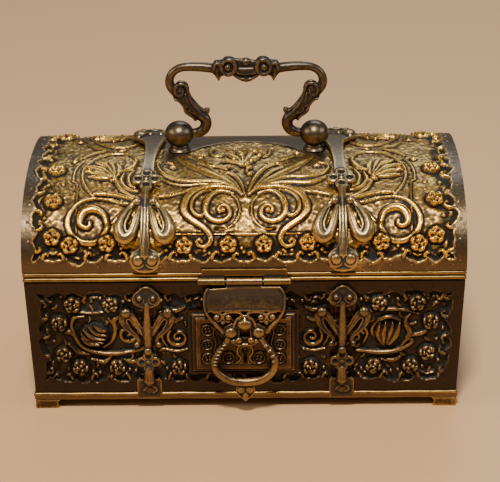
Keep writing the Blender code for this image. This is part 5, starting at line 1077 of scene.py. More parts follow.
def add_wall_sheet(sheet, side, half_top, half_bottom):
    """Stands a sheet on its side of the case, narrowed towards the bottom as the wall is."""
    name = f"case_wall_{side}"
    height = worked_height(sheet)
    taper = (half_bottom + (half_top - half_bottom) * sheet.up / sheet.y[-1]) / half_top
    across = sheet.across * taper
    places = on_wall(across, sheet.up, height, side)
    under = on_wall(across, sheet.up, np.full_like(height, -SHEET_THICKNESS), side)
    mesh = grid_mesh(name, places, under, worked_values(sheet))
    add_piece(name, mesh, "case", "stamped_brass_wall", WALL_BRASS, f"case_panel_{side}")


def build_case_walls():
    end = case_end()
    for side in ("front", "back"):
        half = WALL_HALF_WIDTH_TOP - SHEET_SHRINK
        add_wall_sheet(front_or_back(side), side, half, WALL_HALF_WIDTH_BOTTOM - SHEET_SHRINK)
    for side in ("left", "right"):
        add_wall_sheet(end, side, END_HALF_TOP, END_HALF_TOP - LEAN_FRONT)


LID_END_BRASS = brass(
    "lid_end_brass", gold=(0.60, 0.38, 0.14), brown=(0.10, 0.066, 0.036),
    rubbed=0.5, dirt=0.75, verdigris=0.5,
)
LID_END_ROSES = ((-12.0, 8.6), (-26.0, 8.6), (-33.0, 14.0), (-24.0, 19.6), (-10.0, 22.6))
LID_END_BACK = -1.4


def arch_nails(half, rise):
    """Places of a row of nails just inside an arch."""
    power = 2 / ARCH_FULLNESS
    count = 14
    reach = 0.935
    places = []
    for number in range(1, count):
        angle = math.pi * number / count
        x = math.copysign(abs(math.cos(angle)) ** power, math.cos(angle)) * half * reach
        places.append((x, math.sin(angle) ** power * rise * reach))
    return places


def build_lid_ends():
    """Arched sheets that close the ends of the lid, set just inside the curve of its cover."""
    under_cover = SHEET_THICKNESS + 0.05 + GAP
    widest = HALF_DEPTH - under_cover
    rise = ARCH_RISE - under_cover
    sheet = Sheet(widest, 0.0, rise, SHEET_PITCH)
    share = np.abs(sheet.across) / widest
    lifted = sheet.up / rise
    away = (share**ARCH_FULLNESS + lifted**ARCH_FULLNESS) ** (1 / ARCH_FULLNESS)
    to_arch = (1 - away) * np.hypot(sheet.across, sheet.up) / np.maximum(away, 1e-3)
    turn = np.arctan2(sheet.up / rise, sheet.across / widest)
    radius = 36.0
    edges = ((sheet.up, sheet.across + widest, 2 * widest), (to_arch, turn * radius, math.pi * radius))
    press_border(sheet, edges, TEAR_PITCH_CASE, 21)
    press_nails(sheet, [(-40.0 + number * 8.0, 2.2) for number in range(11)])
    press_nails(sheet, arch_nails(widest, rise))

    def field():
        sheet.stroke([(0.0, 7.4), (-8.0, 8.4), (-16.0, 11.4), (-20.0, 16.4)], (0.5, 0.9, 0.9, 0.4), 1.0)
        sheet.scroll(-17.6, 14.0, 3.6, 1.5, -1, 2.6, (0.8, 0.8, 0.5), 1.0)
        sheet.leaf([(-6.4, 18.4), (-10.4, 20.6), (-15.6, 20.0)], (0.4, 1.1, 0.4), 0.95)
        sheet.leaf([(-5.6, 9.6), (-11.0, 6.8), (-17.0, 6.8)], (0.4, 1.0, 0.4), 0.9)
        sheet.roses(LID_END_ROSES, 0.4, 1.0, 2.6, END_ROSE_RISE)

    sheet.both_sides(field)
    rose_bud(sheet, 0.0, 14.5, 0.95, END_ROSE_RISE)
    fill_with_leaflets(sheet, 34, 120)
    sheet.height = np.minimum(sheet.height, END_PROUD)
    squeeze = (1 - np.minimum(lifted, 0.9995) ** ARCH_FULLNESS) ** (1 / ARCH_FULLNESS)
    across = sheet.across * squeeze
    grids = dict(worked_values(sheet), height=worked_height(sheet))
    for key, grid in grids.items():
        grids[key] = np.array([np.interp(place, sheet.x, row) for place, row in zip(across, grid)])
    height = grids.pop("height")

    def on_end(side, out):
        x = side * (HALF_WIDTH - GAP + out)
        return np.stack([x, side * across + CASE_MIDDLE_Y, sheet.up + ARCH_SPRING], axis=-1)

    for side, hand in ((-1, "left"), (1, "right")):
        name = f"lid_end_{hand}_stamped"
        under = on_end(side, np.full_like(height, LID_END_BACK))
        mesh = grid_mesh(name, on_end(side, height), under, grids)
        add_piece(name, mesh, "lid", "stamped_brass_lid", LID_END_BRASS, f"lid_end_{hand}")


build_case_walls()
build_lid_ends()

# Straps
# Each strap is a brass casting riveted over the sheet: a shield with two bosses, a stalk, a pair of
# looped wings and a four-lobed ring. The lid's pair run over the crown, where they broaden to a plain head.
STRAP_X = 35.5
STRAP_LOW = 0.3
STRAP_HIGH = 1.5
CAST_GRAIN = 0.24
WEAR_ROUNDS = 10
WEAR_REACH = 0.05


def point_values(mesh, key):
    """Places or normals of a mesh's points, one row each."""
    values = np.empty(len(mesh.vertices) * 3)
    mesh.vertices.foreach_get(key, values)
    return values.reshape(-1, 3)


def walls_between(rings, sides):
    """Faces between rings of points that follow each other."""
    faces = []
    for low in range(0, (rings - 1) * sides, sides):
        for turn in range(sides):
            after = (turn + 1) % sides
            faces.append([low + turn, low + after, low + sides + after, low + sides + turn])
    return faces


class Casting:
    """Closed shapes, in millimetres, that are melted into one smooth casting."""

    def __init__(self):
        self.points = []
        self.faces = []

    def add(self, points, faces):
        start = len(self.points)
        self.points += [tuple(point) for point in points]
        self.faces += [[start + number for number in face] for face in faces]

    def rod(self, points, radii, sides=12, square=False):
        """Round bar along a smooth line, with rounded or square ends."""
        curve, size = flowing(points, radii)
        way = np.gradient(curve, axis=0)
        way /= np.linalg.norm(way, axis=1)[:, None]
        side = np.cross(way[0], (0.0, 0.0, 1.0) if abs(way[0][2]) < 0.9 else (1.0, 0.0, 0.0))
        rings = []
        angles = np.arange(sides) * 2 * math.pi / sides
        stations = list(zip(curve, size, way))
        if not square:
            stations.insert(0, (curve[0] - way[0] * size[0] * 0.75, size[0] * 0.45, way[0]))
            stations.append((curve[-1] + way[-1] * size[-1] * 0.75, size[-1] * 0.45, way[-1]))
        for centre, radius, along in stations:
            side = side - along * np.dot(side, along)
            side = side / np.linalg.norm(side)
            other = np.cross(along, side)
            rings.append(centre + radius * (np.cos(angles)[:, None] * side + np.sin(angles)[:, None] * other))
        last = (len(rings) - 1) * sides
        ends = [list(range(sides))[::-1], list(range(last, last + sides))]
        self.add(np.vstack(rings), walls_between(len(rings), sides) + ends)

    def rods(self, points, radii, sides=12):
        """A bar and its mirror image on the other side."""
        for side in (-1, 1):
            self.rod([(side * x, y, out) for x, y, out in points], radii, sides)

    def ball(self, centre, radii, turn=0.0):
        """Oval lump; turn is about the third axis."""
        work = bmesh.new()
        bmesh.ops.create_icosphere(work, subdivisions=3, radius=1.0)
        place = Matrix.Translation(centre) @ Matrix.Rotation(turn, 4, "Z") @ Matrix.Diagonal((*radii, 1))
        work.transform(place)
        faces = [[vert.index for vert in face.verts] for face in work.faces]
        self.add([vert.co for vert in work.verts], faces)
        work.free()

    def balls(self, x, y, out, radii):
        """A lump and its mirror image on the other side."""
        for side in (-1, 1):
            self.ball((side * x, y, out), radii)

    def plate(self, outline, low, high, holes=()):
        """Flat shape between two levels, which may have openings."""
        loops = [list(outline)] + [list(hole) for hole in holes]
        flat = [point for loop in loops for point in loop]
        triangles = tessellate_polygon([[Vector((x, y, 0)) for x, y in loop] for loop in loops])
        count = len(flat)
        points = [(x, y, low) for x, y in flat] + [(x, y, high) for x, y in flat]
        faces = [list(face) for face in triangles]
        faces += [[number + count for number in reversed(face)] for face in triangles]
        start = 0
        for loop in loops:
            size = len(loop)
            for number in range(size):
                first = start + number
                second = start + (number + 1) % size
                faces.append([first, second, second + count, first + count])
            start += size
        self.add(points, faces)

    def ring(self, centre, radius, thickness):
        """Small closed ring that lies flat."""
        x, y, out = centre
        points = [(*around(x, y, radius, number * math.pi / 10), out) for number in range(21)]
        self.rod(points, (thickness, thickness), 10)

    def melted(self, grain=CAST_GRAIN, softening=3):
        """Points and faces of the one casting, with its edges softened."""
        mesh = bpy.data.meshes.new("rough_casting")
        mesh.from_pydata(self.points, [], self.faces)
        item = add_object("rough_casting", mesh)
        melt = item.modifiers.new("melt", "REMESH")
        melt.mode = "VOXEL"
        melt.voxel_size = grain
        smooth = item.modifiers.new("smooth", "SMOOTH")
        smooth.factor = 0.5
        smooth.iterations = softening
        ready = item.evaluated_get(bpy.context.evaluated_depsgraph_get())
        made = ready.to_mesh()
        points = point_values(made, "co")
        faces = [list(face.vertices) for face in made.polygons]
        ready.to_mesh_clear()
        bpy.data.objects.remove(item, do_unlink=True)
        bpy.data.meshes.remove(mesh)
        return points, faces


def cast_mesh(name, places, faces):
    """Smooth mesh of places in millimetres, with its wear noted."""
    mesh = new_mesh(name, places, faces)
    mesh.validate()
    work = bmesh.new()
    work.from_mesh(mesh)
    bmesh.ops.recalc_face_normals(work, faces=work.faces)
    work.to_mesh(mesh)
    work.free()
    mesh.shade_smooth()
    add_wear(mesh)
    return mesh


def add_wear(mesh):
    """Notes how far each point stands out of, or lies below, the smoothed surface round it."""
    count = len(mesh.vertices)
    places = point_values(mesh, "co") / MM
    ends = np.empty(len(mesh.edges) * 2, dtype=int)
    mesh.edges.foreach_get("vertices", ends)
    first, second = ends.reshape(-1, 2).T
    near = np.maximum(np.bincount(first, minlength=count) + np.bincount(second, minlength=count), 1)
    smooth = places.copy()
    for _ in range(WEAR_ROUNDS):
        total = np.empty_like(smooth)
        for axis in range(3):
            total[:, axis] = np.bincount(first, smooth[second, axis], count)
            total[:, axis] += np.bincount(second, smooth[first, axis], count)
        smooth = total / near[:, None]
    stand = np.einsum("ij,ij->i", places - smooth, point_values(mesh, "normal")) / WEAR_REACH
    note_values(mesh, {"proud": np.clip(stand, 0.0, 1.0), "hollow": np.clip(-stand, 0.0, 1.0)})


def add_casting(name, places, faces, body, slot, material, *nodes):
    """Cast piece of places in millimetres."""
    return add_piece(name, cast_mesh(name, places, faces), body, slot, material, *nodes)


def mirrored_outline(points):
    """Outline from its right half, which runs from the top to the foot."""
    return [(x, y) for x, y in points] + [(-x, y) for x, y in reversed(points) if x > 0]


STRAP_BRASS = brass(
    "strap_brass", gold=(0.62, 0.42, 0.16), brown=(0.19, 0.135, 0.08),
    rubbed=0.5, dirt=0.8, verdigris=0.6, uneven=0.7,
)
CASE_STRAP_BRASS = brass(
    "case_strap_brass", gold=(0.40, 0.27, 0.13), brown=(0.082, 0.06, 0.04),
    rubbed=0.24, dirt=0.8, verdigris=0.5,
)


def four_lobes(casting, y, low, size=1.0):
    """Four round lobes, each with a sunk eye, about a pointed bead."""
    for number in range(4):
        x, up = around(0, y, 2.5 * size, number * math.pi / 2)
        casting.ball((x, up, low + 0.5), (2.0 * size, 2.0 * size, 0.7))
        casting.ring((x, up, low + 1.2), 1.45 * size, 0.62 * size)
    casting.ball((0, y, low + 1.1), (1.0, 1.0, 1.3))


def lid_strap_half(casting, along):
    """One end of a lid strap, from its foot up to the ring; along counts its way up from the foot there."""
    def laid(points):
        return [(x, along(y), *out) for x, y, *out in points]

    shield = mirrored_outline(
        [(0, 0.2), (2.4, 0.6), (4.6, 2.0), (5.6, 4.3), (5.4, 6.3), (4.0, 8.1), (2.3, 9.0), (1.6, 10.0)]
    )
    casting.plate(laid(shield), STRAP_LOW, STRAP_HIGH - 0.2)
    casting.balls(2.5, along(4.8), STRAP_HIGH - 0.3, (2.9, 3.0, 0.75))
    casting.balls(2.5, along(5.1), STRAP_HIGH + 0.4, (1.75, 1.8, 0.85))
    stalk = ((0, 6.6, 1.0), (0, 13.0, 1.2), (0, 22.0, 1.2), (0, 32.0, 1.3))
    casting.rod(laid(stalk), (2.0, 1.5, 1.2, 1.15, 1.3, 1.6), 8)
    edge = ((1.5525, 9.5, 1.9), (1.15, 16.0, 1.95), (1.035, 24.0, 1.95), (0.92, 31.0, 1.8))
    casting.rods(laid(edge), (0.38, 0.36, 0.34), 8)
    casting.plate(laid(((-2.0, 9), (2.0, 9), (1.3, 34), (-1.3, 34))), STRAP_LOW, STRAP_LOW + 0.6)
    wing = (
        (2.9, 25.8, 1.8), (4.6, 24.6, 1.7), (6.8, 21.6, 1.8), (8.5, 18.2, 1.9), (9.0, 15.2, 2.0),
        (7.6, 12.8, 2.1), (5.5, 13.4, 2.0), (4.2, 15.8, 1.7), (3.2, 18.8, 1.5), (2.3, 22.4, 1.4),
        (1.2, 26.0, 1.3),
    )
    radii = (1.35, 1.05, 1.45, 1.95, 2.4, 2.5, 2.15, 1.7, 1.4, 1.05, 0.85)
    slit = (
        (4.6, 22.4, 2.7), (6.0, 19.4, 3.1), (6.9, 16.6, 3.5), (6.3, 14.5, 3.6), (5.0, 15.6, 3.2),
        (4.2, 18.2, 2.8), (3.6, 20.9, 2.5),
    )
    casting.rods(laid(wing), radii)
    casting.balls(2.958, along(25.8), 2.1, (1.7, 1.7, 1.6))
    casting.rods(laid(slit), (0.3, 0.4, 0.45, 0.4, 0.3), 8)
    casting.ball((0, along(31.6), 1.6), (1.7, 1.4, 1.2))
    four_lobes(casting, along(36.6), STRAP_LOW + 0.2, 1.2)


def lid_strap(side):
    """The whole strap: its two ends and, over the crown, a head that curves towards the lid's end."""
    casting = Casting()
    for along in (lambda run: run, lambda run: ARCH_LENGTH - run):
        lid_strap_half(casting, along)
    outer = (
        (2.6, 39.6), (1.8, 47.0), (1.7, 60.0), (2.6, 68.0), (5.0, 71.5), (7.0, 73.5), (7.4, 76.5),
        (7.3, 81.0), (6.2, 85.0), (3.4, 88.0), (1.6, 92.0),
    )
    inner = (
        (2.6, 39.6), (2.4, 48.0), (3.3, 60.0), (4.5, 67.0), (5.2, 72.0), (5.5, 78.0), (5.0, 83.0),
        (3.4, 88.0), (1.4, 92.0),
    )
    head = [(side * x, y) for x, y in outer] + [(-side * x, y) for x, y in reversed(inner)]
    casting.plate(head, STRAP_LOW, 1.75)
    casting.ball((side * 4.7, 78.0, 1.7), (2.7, 4.0, 1.5))
    for x, y, size in ((side * 0.8, 77.6, 0.95), (-side * 3.3, 77.4, 0.95), (side * 4.9, 73.2, 0.9)):
        casting.ball((x, y, 1.85), (size, size, 0.8))
    return casting.melted()


def case_strap():
    """Strap of the case, from its foot on the base to the shield under the rim."""
    casting = Casting()
    shield = mirrored_outline(
        [(0, 44.1), (1.5, 43.8), (3.1, 42.3), (4.7, 40.8), (5.3, 38.8), (4.7, 36.9), (3.1, 36.1), (1.5, 35.6)]
    )
    casting.plate(shield, STRAP_LOW, STRAP_HIGH)
    rim = [(x * 0.93, 39.7 + (y - 39.7) * 0.93, STRAP_HIGH) for x, y in shield + shield[:1]]
    casting.rod(rim, (0.34, 0.34), 8)
    for x in (-2.6, 2.6):
        casting.ring((x, 38.8, STRAP_HIGH), 1.7, 0.3)
    casting.balls(2.47, 39.3, STRAP_HIGH + 0.2, (1.0, 1.0, 0.9))
    stalk = [(0, 37.0, 0.9), (0, 31.0, 1.0), (0, 27.0, 1.1), (0, 22.0, 1.1), (0, 16.5, 1.1)]
    casting.rod(stalk, (1.3, 1.2, 1.5, 1.8, 1.8, 1.4, 1.2), 10)
    outer = (
        (4.0, 20.6, 1.3), (3.3, 22.2, 1.2), (4.2, 24.2, 1.1), (6.6, 27.2, 1.2), (8.4, 30.0, 1.3),
        (8.6, 32.6, 1.5), (7.6, 34.0, 1.7),
    )
    casting.rods(outer, (0.9, 0.85, 1.0, 1.4, 1.8, 1.8))
    casting.balls(4.0, 20.6, 1.7, (1.2, 1.2, 1.3))
    casting.balls(7.6, 34.0, 2.1, (2.0, 2.0, 2.0))
    inner = ((7.6, 34.0, 1.7), (5.6, 32.2, 1.5), (4.0, 29.4, 1.3), (2.8, 26.6, 1.2), (1.2, 24.0, 1.1))
    casting.rods(inner, (1.6, 1.35, 1.1, 0.9))
    raised_lines = (
        (
            (3.6, 21.2, 2.1), (3.9, 23.2, 2.0), (6.6, 26.0, 2.2), (9.1, 29.2, 2.5), (9.9, 32.4, 2.6),
            (9.0, 34.9, 2.6),
        ),
        (
            (4.9, 25.6, 2.0), (6.5, 28.6, 2.4), (7.3, 31.0, 2.8), (6.6, 31.9, 2.8), (5.4, 30.2, 2.4),
            (4.0, 27.4, 2.0),
        ),
        ((6.0, 34.6, 2.4), (4.2, 32.0, 2.2), (2.8, 29.2, 2.0), (1.8, 27.4, 1.9)),
    )
    for line in raised_lines:
        casting.rods(line, (0.22, 0.34, 0.36, 0.34, 0.22), 8)
    casting.ball((0, 18.0, 2.0), (1.6, 1.5, 1.3))
    four_lobes(casting, 13.4, STRAP_LOW + 0.1)
    casting.rod([(0, 10.6, 1.2), (0, 5.0, 1.1)], (1.7, 2.2))
    foot = mirrored_outline([(2.6, 5.6), (3.6, 6.6), (4.6, 5.4), (4.6, -2.4)])
    casting.plate(foot, STRAP_LOW, 1.25)
    casting.ball((0.2, 1.6, 1.1), (2.6, 2.0, 0.45))
    hook = [(-2.2, 1.2, 1.3), (-0.6, 2.9, 1.3), (1.8, 2.8, 1.3), (2.6, 1.2, 1.3), (1.2, 0.2, 1.3)]
    casting.rod(hook, (0.3, 0.36, 0.3), 8)
    return casting.melted()


def build_straps():
    for side, hand in ((-1, "left"), (1, "right")):
        points, faces = lid_strap(side)
        places = over_arch(points[:, 0] + side * STRAP_X, points[:, 1], points[:, 2])
        strap = f"lid_strap_{hand}"
        add_casting(f"{strap}_cast", places, faces, "lid", "cast_brass", STRAP_BRASS, strap)
    points, faces = case_strap()
    for wall, hand, side in (
        ("front", "left", -1), ("front", "right", 1), ("back", "left", 1), ("back", "right", -1),
    ):
        places = on_wall(points[:, 0] + side * STRAP_X, points[:, 1], points[:, 2], wall)
        strap = f"case_strap_{wall}_{hand}"
        add_casting(f"{strap}_cast", places, faces, "case", "cast_brass", CASE_STRAP_BRASS, strap)


build_straps()

# Rims, base moulding and feet
# A drawn brass bead runs round the top of the case and round the foot of the lid, and a heavier one round
# the base. They were fitted by hand, so they waver a little. Four cast bracket feet stand under the corners.
base_low, base_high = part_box("base_plate")
BASE_FOOT = base_low.z / MM
BASE_TOP = base_high.z / MM
BASE_HALF_WIDTH = base_high.x / MM
BASE_HALF_DEPTH = (base_high.y - base_low.y) / 2 / MM
RIM_WIDTH = 4.6
RIM_WAVER = 0.035
BASE_WAVER = 0.06
FOOT_REACH_SIDE = 0.84
FOOT_GRAIN = 0.2
RIM_BRASS = brass(
    "rim_brass", gold=(0.44, 0.275, 0.085), brown=(0.11, 0.075, 0.036),
    rubbed=0.44, dirt=0.5, verdigris=0.1, grain=0.00002, uneven=0.9,
)
BASE_BRASS = brass(
    "base_brass", gold=(0.46, 0.29, 0.10), brown=(0.075, 0.05, 0.03),
    rubbed=0.46, dirt=0.5, verdigris=0.1, grain=0.00003,
)


def moulding(name, half_x, half_y, profile, waver):
    """Moulding round a rectangle with mitred corners; the profile gives places in from the edge and up."""
    stations = []
    corners = ((-1, -1), (1, -1), (1, 1), (-1, 1))
    for number, (start, end) in enumerate(zip(corners, corners[1:] + corners[:1])):
        count = int(2 * (half_x if number % 2 == 0 else half_y))
        for share in range(count):
            way = share / count
            stations.append((start[0] + (end[0] - start[0]) * way, start[1] + (end[1] - start[1]) * way))
    points = []
    for index, (x, y) in enumerate(stations):
        sway = waver * math.sin(index * 0.37) + waver * 0.6 * math.sin(index * 0.13 + 1.0)
        for inward, up in profile:
            lift = sway * 0.6 if 0 < inward < RIM_WIDTH * 0.8 else 0.0
            points.append((x * (half_x - inward), y * (half_y - inward) + CASE_MIDDLE_Y, up + lift))
    size = len(profile)
    count = len(stations)
    faces = []
    for index in range(count):
        for number in range(size):
            following = (number + 1) % size
            after = (index + 1) % count
            low = index * size
            faces.append([low + number, after * size + number, after * size + following, low + following])
    mesh = cast_mesh(name, points, faces)
    mesh.set_sharp_from_angle(angle=math.radians(50))
    return mesh


def bead_profile(low, height, width):
    """Half-round outer bead, a fine channel behind it and a flat inner band."""
    radius = height / 2
    points = []
    for degrees in np.linspace(-90.0, 90.0, 9):
        angle = math.radians(degrees)
        points.append((radius - radius * math.cos(angle), low + radius + radius * math.sin(angle)))
    points += [(radius + 0.35, low + height - 0.25), (radius + 0.7, low + height), (width, low + height)]
    return points + [(width, low)]


def bracket_foot(side_x, side_y):
    """Two scrolled brackets that meet at a corner of the base; the one along the side is a little shorter."""
    outline = (
        (-0.3, 0.0), (-0.3, 3.4), (-9.8, 3.4), (-8.7, 2.7), (-8.6, 1.9), (-9.0, 1.1), (-8.7, 0.3),
        (-7.9, 0.0),
    )
    brackets = []
    for reach in (1.0, FOOT_REACH_SIDE):
        casting = Casting()
        casting.plate([(x * reach, y) for x, y in outline], 0.3, 2.2)
        brackets.append(casting.melted(FOOT_GRAIN, 2))
    (front, faces), (beside, beside_faces) = brackets
    first = np.stack([front[:, 0], -front[:, 2], front[:, 1]], axis=-1)
    second = np.stack([-beside[:, 2], beside[:, 0], beside[:, 1]], axis=-1)
    places = np.vstack([first, second]) * (side_x, side_y, 1)
    places += (side_x * BASE_HALF_WIDTH, side_y * BASE_HALF_DEPTH + CASE_MIDDLE_Y, 0.0)
    return places, faces + [[number + len(front) for number in face] for face in beside_faces]


def build_rims():
    for body in ("case", "lid"):
        low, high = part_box(f"{body}_rim")
        profile = bead_profile(low.z / MM, (high.z - low.z) / MM, RIM_WIDTH)
        mesh = moulding(f"{body}_rim_bead", HALF_WIDTH, HALF_DEPTH, profile, RIM_WAVER)
        add_piece(f"{body}_rim_bead", mesh, body, "sheet_brass", RIM_BRASS, f"{body}_rim")
    profile = []
    for degrees in range(-70, 106, 25):
        angle = math.radians(degrees)
        profile.append((0.55 - 0.75 * math.cos(angle), BASE_TOP - 0.62 + 0.7 * math.sin(angle)))
    lowest = BASE_FOOT - 0.05
    profile += [(1.6, BASE_TOP + 0.05), (1.6, lowest), (0.25, lowest), (0.05, BASE_FOOT + 0.3)]
    mesh = moulding("base_moulding", BASE_HALF_WIDTH, BASE_HALF_DEPTH, profile, BASE_WAVER)
    add_piece("base_moulding", mesh, "case", "sheet_brass", BASE_BRASS)
    for side_x, hand in ((-1, "left"), (1, "right")):
        for side_y, end in ((-1, "front"), (1, "back")):
            places, faces = bracket_foot(side_x, side_y)
            foot = f"foot_{end}_{hand}"
            add_casting(f"{foot}_cast", places, faces, "case", "cast_brass", BASE_BRASS, foot)


build_rims()

# Lock plate and keyhole rim
# The lock's cover is a stepped brass box with a sunk, chased field. The hasp's staple drops into a slot
# at its top, and a raised rim surrounds the keyhole.
LOCK_PITCH = 0.24
LOCK_X = -0.5
LOCK_CENTRE = 21.5
LOCK_HALF_WIDTH = 20.1
LOCK_HALF_HEIGHT = 13.1
LOCK_LOW = 1.05
LOCK_PROUD = 3.5
LOCK_STEP = 1.25
LOCK_FRAME = 4.6
LOCK_RECESS = 0.45
LOCK_FIELD = LOCK_PROUD - LOCK_RECESS
LOCK_FACE = 0.7
KEY_X = 0.5
KEY_Y = -2.7
KEY_RADIUS = 1.35
KEY_SLOT_WIDTH = 1.4
KEY_DROP = 5.2
KEY_RIM_RADIUS = 2.85
SLOT_HALF_WIDTH = 1.5
SLOT_FOOT = 5.3
LOCK_BRASS = brass(
    "lock_brass", gold=(0.32, 0.20, 0.08), brown=(0.068, 0.043, 0.027),
    rubbed=0.34, dirt=0.8, verdigris=0.3,
)


def layered_mesh(name, places, under, values, keep):
    """Closed piece from two grids of places, with walls wherever the kept cells end."""
    rows, columns, _ = places.shape
    index = np.arange(rows * columns).reshape(rows, columns)
    count = rows * columns
    quads = np.stack([index[:-1, :-1], index[:-1, 1:], index[1:, 1:], index[1:, :-1]], axis=-1)
    top = quads[keep]
    faces = top.tolist() + (top[:, ::-1] + count).tolist()
    framed = np.pad(keep, 1)
    neighbours = (
        (0, 1, framed[:-2, 1:-1]), (1, 2, framed[1:-1, 2:]),
        (2, 3, framed[2:, 1:-1]), (3, 0, framed[1:-1, :-2]),
    )
    for start, end, beside in neighbours:
        edge = quads[keep & ~beside]
        first = edge[:, start]
        second = edge[:, end]
        faces += np.stack([second, first, first + count, second + count], axis=-1).tolist()
    mesh = new_mesh(name, np.vstack([places.reshape(-1, 3), under.reshape(-1, 3)]), faces)
    note_values(mesh, values, count)
    work = bmesh.new()
    work.from_mesh(mesh)
    bmesh.ops.delete(work, geom=[vert for vert in work.verts if not vert.link_faces], context="VERTS")
    work.to_mesh(mesh)
    work.free()
    mesh.shade_smooth()
    mesh.set_sharp_from_angle(angle=math.radians(60))
    return mesh


def build_lock_plate():
    """Stepped and chased cover of the lock, with the keyhole and the slot for the staple cut through it."""
    sheet = Sheet(LOCK_HALF_WIDTH, -LOCK_HALF_HEIGHT, LOCK_HALF_HEIGHT, LOCK_PITCH)
    inward = np.minimum(LOCK_HALF_WIDTH - np.abs(sheet.across), LOCK_HALF_HEIGHT - np.abs(sheet.up))
    rise = (LOCK_PROUD - LOCK_LOW) / 3
    level = LOCK_LOW + rise + rise * eased((inward - LOCK_STEP) / 0.35)
    level += rise * eased((inward - 2 * LOCK_STEP) / 0.35)
    level -= LOCK_RECESS * eased((inward - LOCK_FRAME + 0.2) / 0.4)
    for line in (0.95, 2.2, 3.7, 4.3):
        level -= 0.16 * np.exp(-(((inward - line) / 0.16) ** 2))
    sheet.height = level

    def chasing():
        flowers = ((13.0, 5.6, 2.1), (13.2, -0.4, 1.9), (13.0, -6.1, 2.1), (5.6, -6.0, 2.1), (8.6, 5.9, 1.5))
        for x, y, reach in flowers:
            sheet.scroll(x, y, reach, 1.0, 1, 0.0, (0.34, 0.34), 0.55, LOCK_FIELD, shrink=0.0)
            for number in range(4):
                angle = number * math.pi / 2 + 0.6
                petal = around(x, y, 0.42 * reach, angle)
                sheet.boss(*petal, (0.28 * reach, 0.2 * reach), 0.45, angle, LOCK_FIELD, 0.1)
        stem = [(10.3, 8.0), (10.9, 4.0), (10.0, 0.4), (10.8, -3.2), (10.1, -7.6)]
        sheet.stroke(stem, (0.25, 0.4, 0.25), 0.5, LOCK_FIELD)
        sheet.leaf([(9.2, 2.8), (8.3, -0.4), (9.2, -3.4)], (0.3, 0.9, 0.3), 0.55, LOCK_FIELD)
        sheet.stroke([(7.9, -3.9), (5.6, -3.4), (3.6, -4.0)], (0.25, 0.35, 0.25), 0.45, LOCK_FIELD)

    sheet.both_sides(chasing)
    from_key = sheet.across - KEY_X
    key_slot = (np.abs(from_key) < KEY_SLOT_WIDTH / 2) & (sheet.up < KEY_Y) & (sheet.up > KEY_Y - KEY_DROP)
    hole = (np.hypot(from_key, sheet.up - KEY_Y) < KEY_RADIUS) | key_slot
    hole |= (np.abs(sheet.across) < SLOT_HALF_WIDTH) & (sheet.up > SLOT_FOOT)
    keep = ~(hole[:-1, :-1] & hole[1:, 1:] & hole[:-1, 1:] & hole[1:, :-1])
    wall = LOCK_FRAME - 1.2
    cavity = (np.abs(sheet.across) < LOCK_HALF_WIDTH - wall) & (np.abs(sheet.up) < LOCK_HALF_HEIGHT - wall)
    across = sheet.across + LOCK_X
    up = sheet.up + LOCK_CENTRE
    face = on_wall(across, up, sheet.height)
    under = on_wall(across, up, np.where(cavity, LOCK_FIELD - LOCK_FACE, LOCK_LOW))
    mesh = layered_mesh("lock_cover_chased", face, under, worked_values(sheet), keep)
    add_piece("lock_cover_chased", mesh, "case", "sheet_brass", LOCK_BRASS, "lock_plate")


def build_keyhole_rim():
    """Raised line round the keyhole on a thin plate, both open at the foot, where they spread."""
    def round_key(radius, past, count):
        return [around(0, 0, radius, turn) for turn in np.linspace(-past, math.pi + past, count)]

    casting = Casting()
    low = LOCK_FIELD + GAP
    rim = [(x, y, low + 0.35) for x, y in round_key(KEY_RIM_RADIUS, 0.85, 24)]
    foot = [(1.6, -3.1, low + 0.35), (2.3, -4.3, low + 0.3), (3.6, -5.2, low + 0.2)]
    casting.rod(foot[::-1] + rim + [(-x, y, z) for x, y, z in foot], (0.35, 0.42, 0.45, 0.42, 0.35))
    outer = round_key(KEY_RIM_RADIUS + 0.25, 0.85, 24)
    inner = round_key(1.75, 1.05, 20)
    outline = [(4.2, -5.6), (2.5, -4.0)] + outer + [(-2.5, -4.0), (-4.2, -5.6), (-1.0, -5.6)] + inner[::-1]
    casting.plate(outline + [(1.0, -5.6)], low - 0.1, low + 0.2)
    points, faces = casting.melted(0.14)
    places = on_wall(points[:, 0] + LOCK_X + KEY_X, points[:, 1] + LOCK_CENTRE + KEY_Y, points[:, 2])
    add_casting("keyhole_rim_cast", places, faces, "case", "bright_brass", RIM_BRASS, "keyhole_rim")


build_lock_plate()
build_keyhole_rim()

# Hasp
# One brass casting hinged on the lid's front rim: a plain rounded plate over a band of scroll-cut fretwork,
# an acorn between two shoulders, a pear-shaped ring with a notched edge and a heart-shaped drop.
hasp_pin_low, hasp_pin_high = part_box("hasp_hinge_pin")
HASP_Y = (hasp_pin_low.y + hasp_pin_high.y) / 2 / MM
HASP_Z = (hasp_pin_low.z + hasp_pin_high.z) / 2 / MM
HASP_CLEARANCE = 0.55
HASP_BARREL = 1.4
HASP_MIDDLE_HALF = 6.6
HASP_LEAF_HALF = 15.5
HASP_LEAF_HEIGHT = 3.0
HASP_BARREL_HALF = 16.8
HASP_GRAIN = 0.22
LEAF_GRAIN = 0.2
HASP_BRASS = brass(
    "hasp_brass", gold=(0.46, 0.30, 0.12), brown=(0.12, 0.086, 0.055),
    rubbed=0.34, dirt=0.75, verdigris=0.15,
)


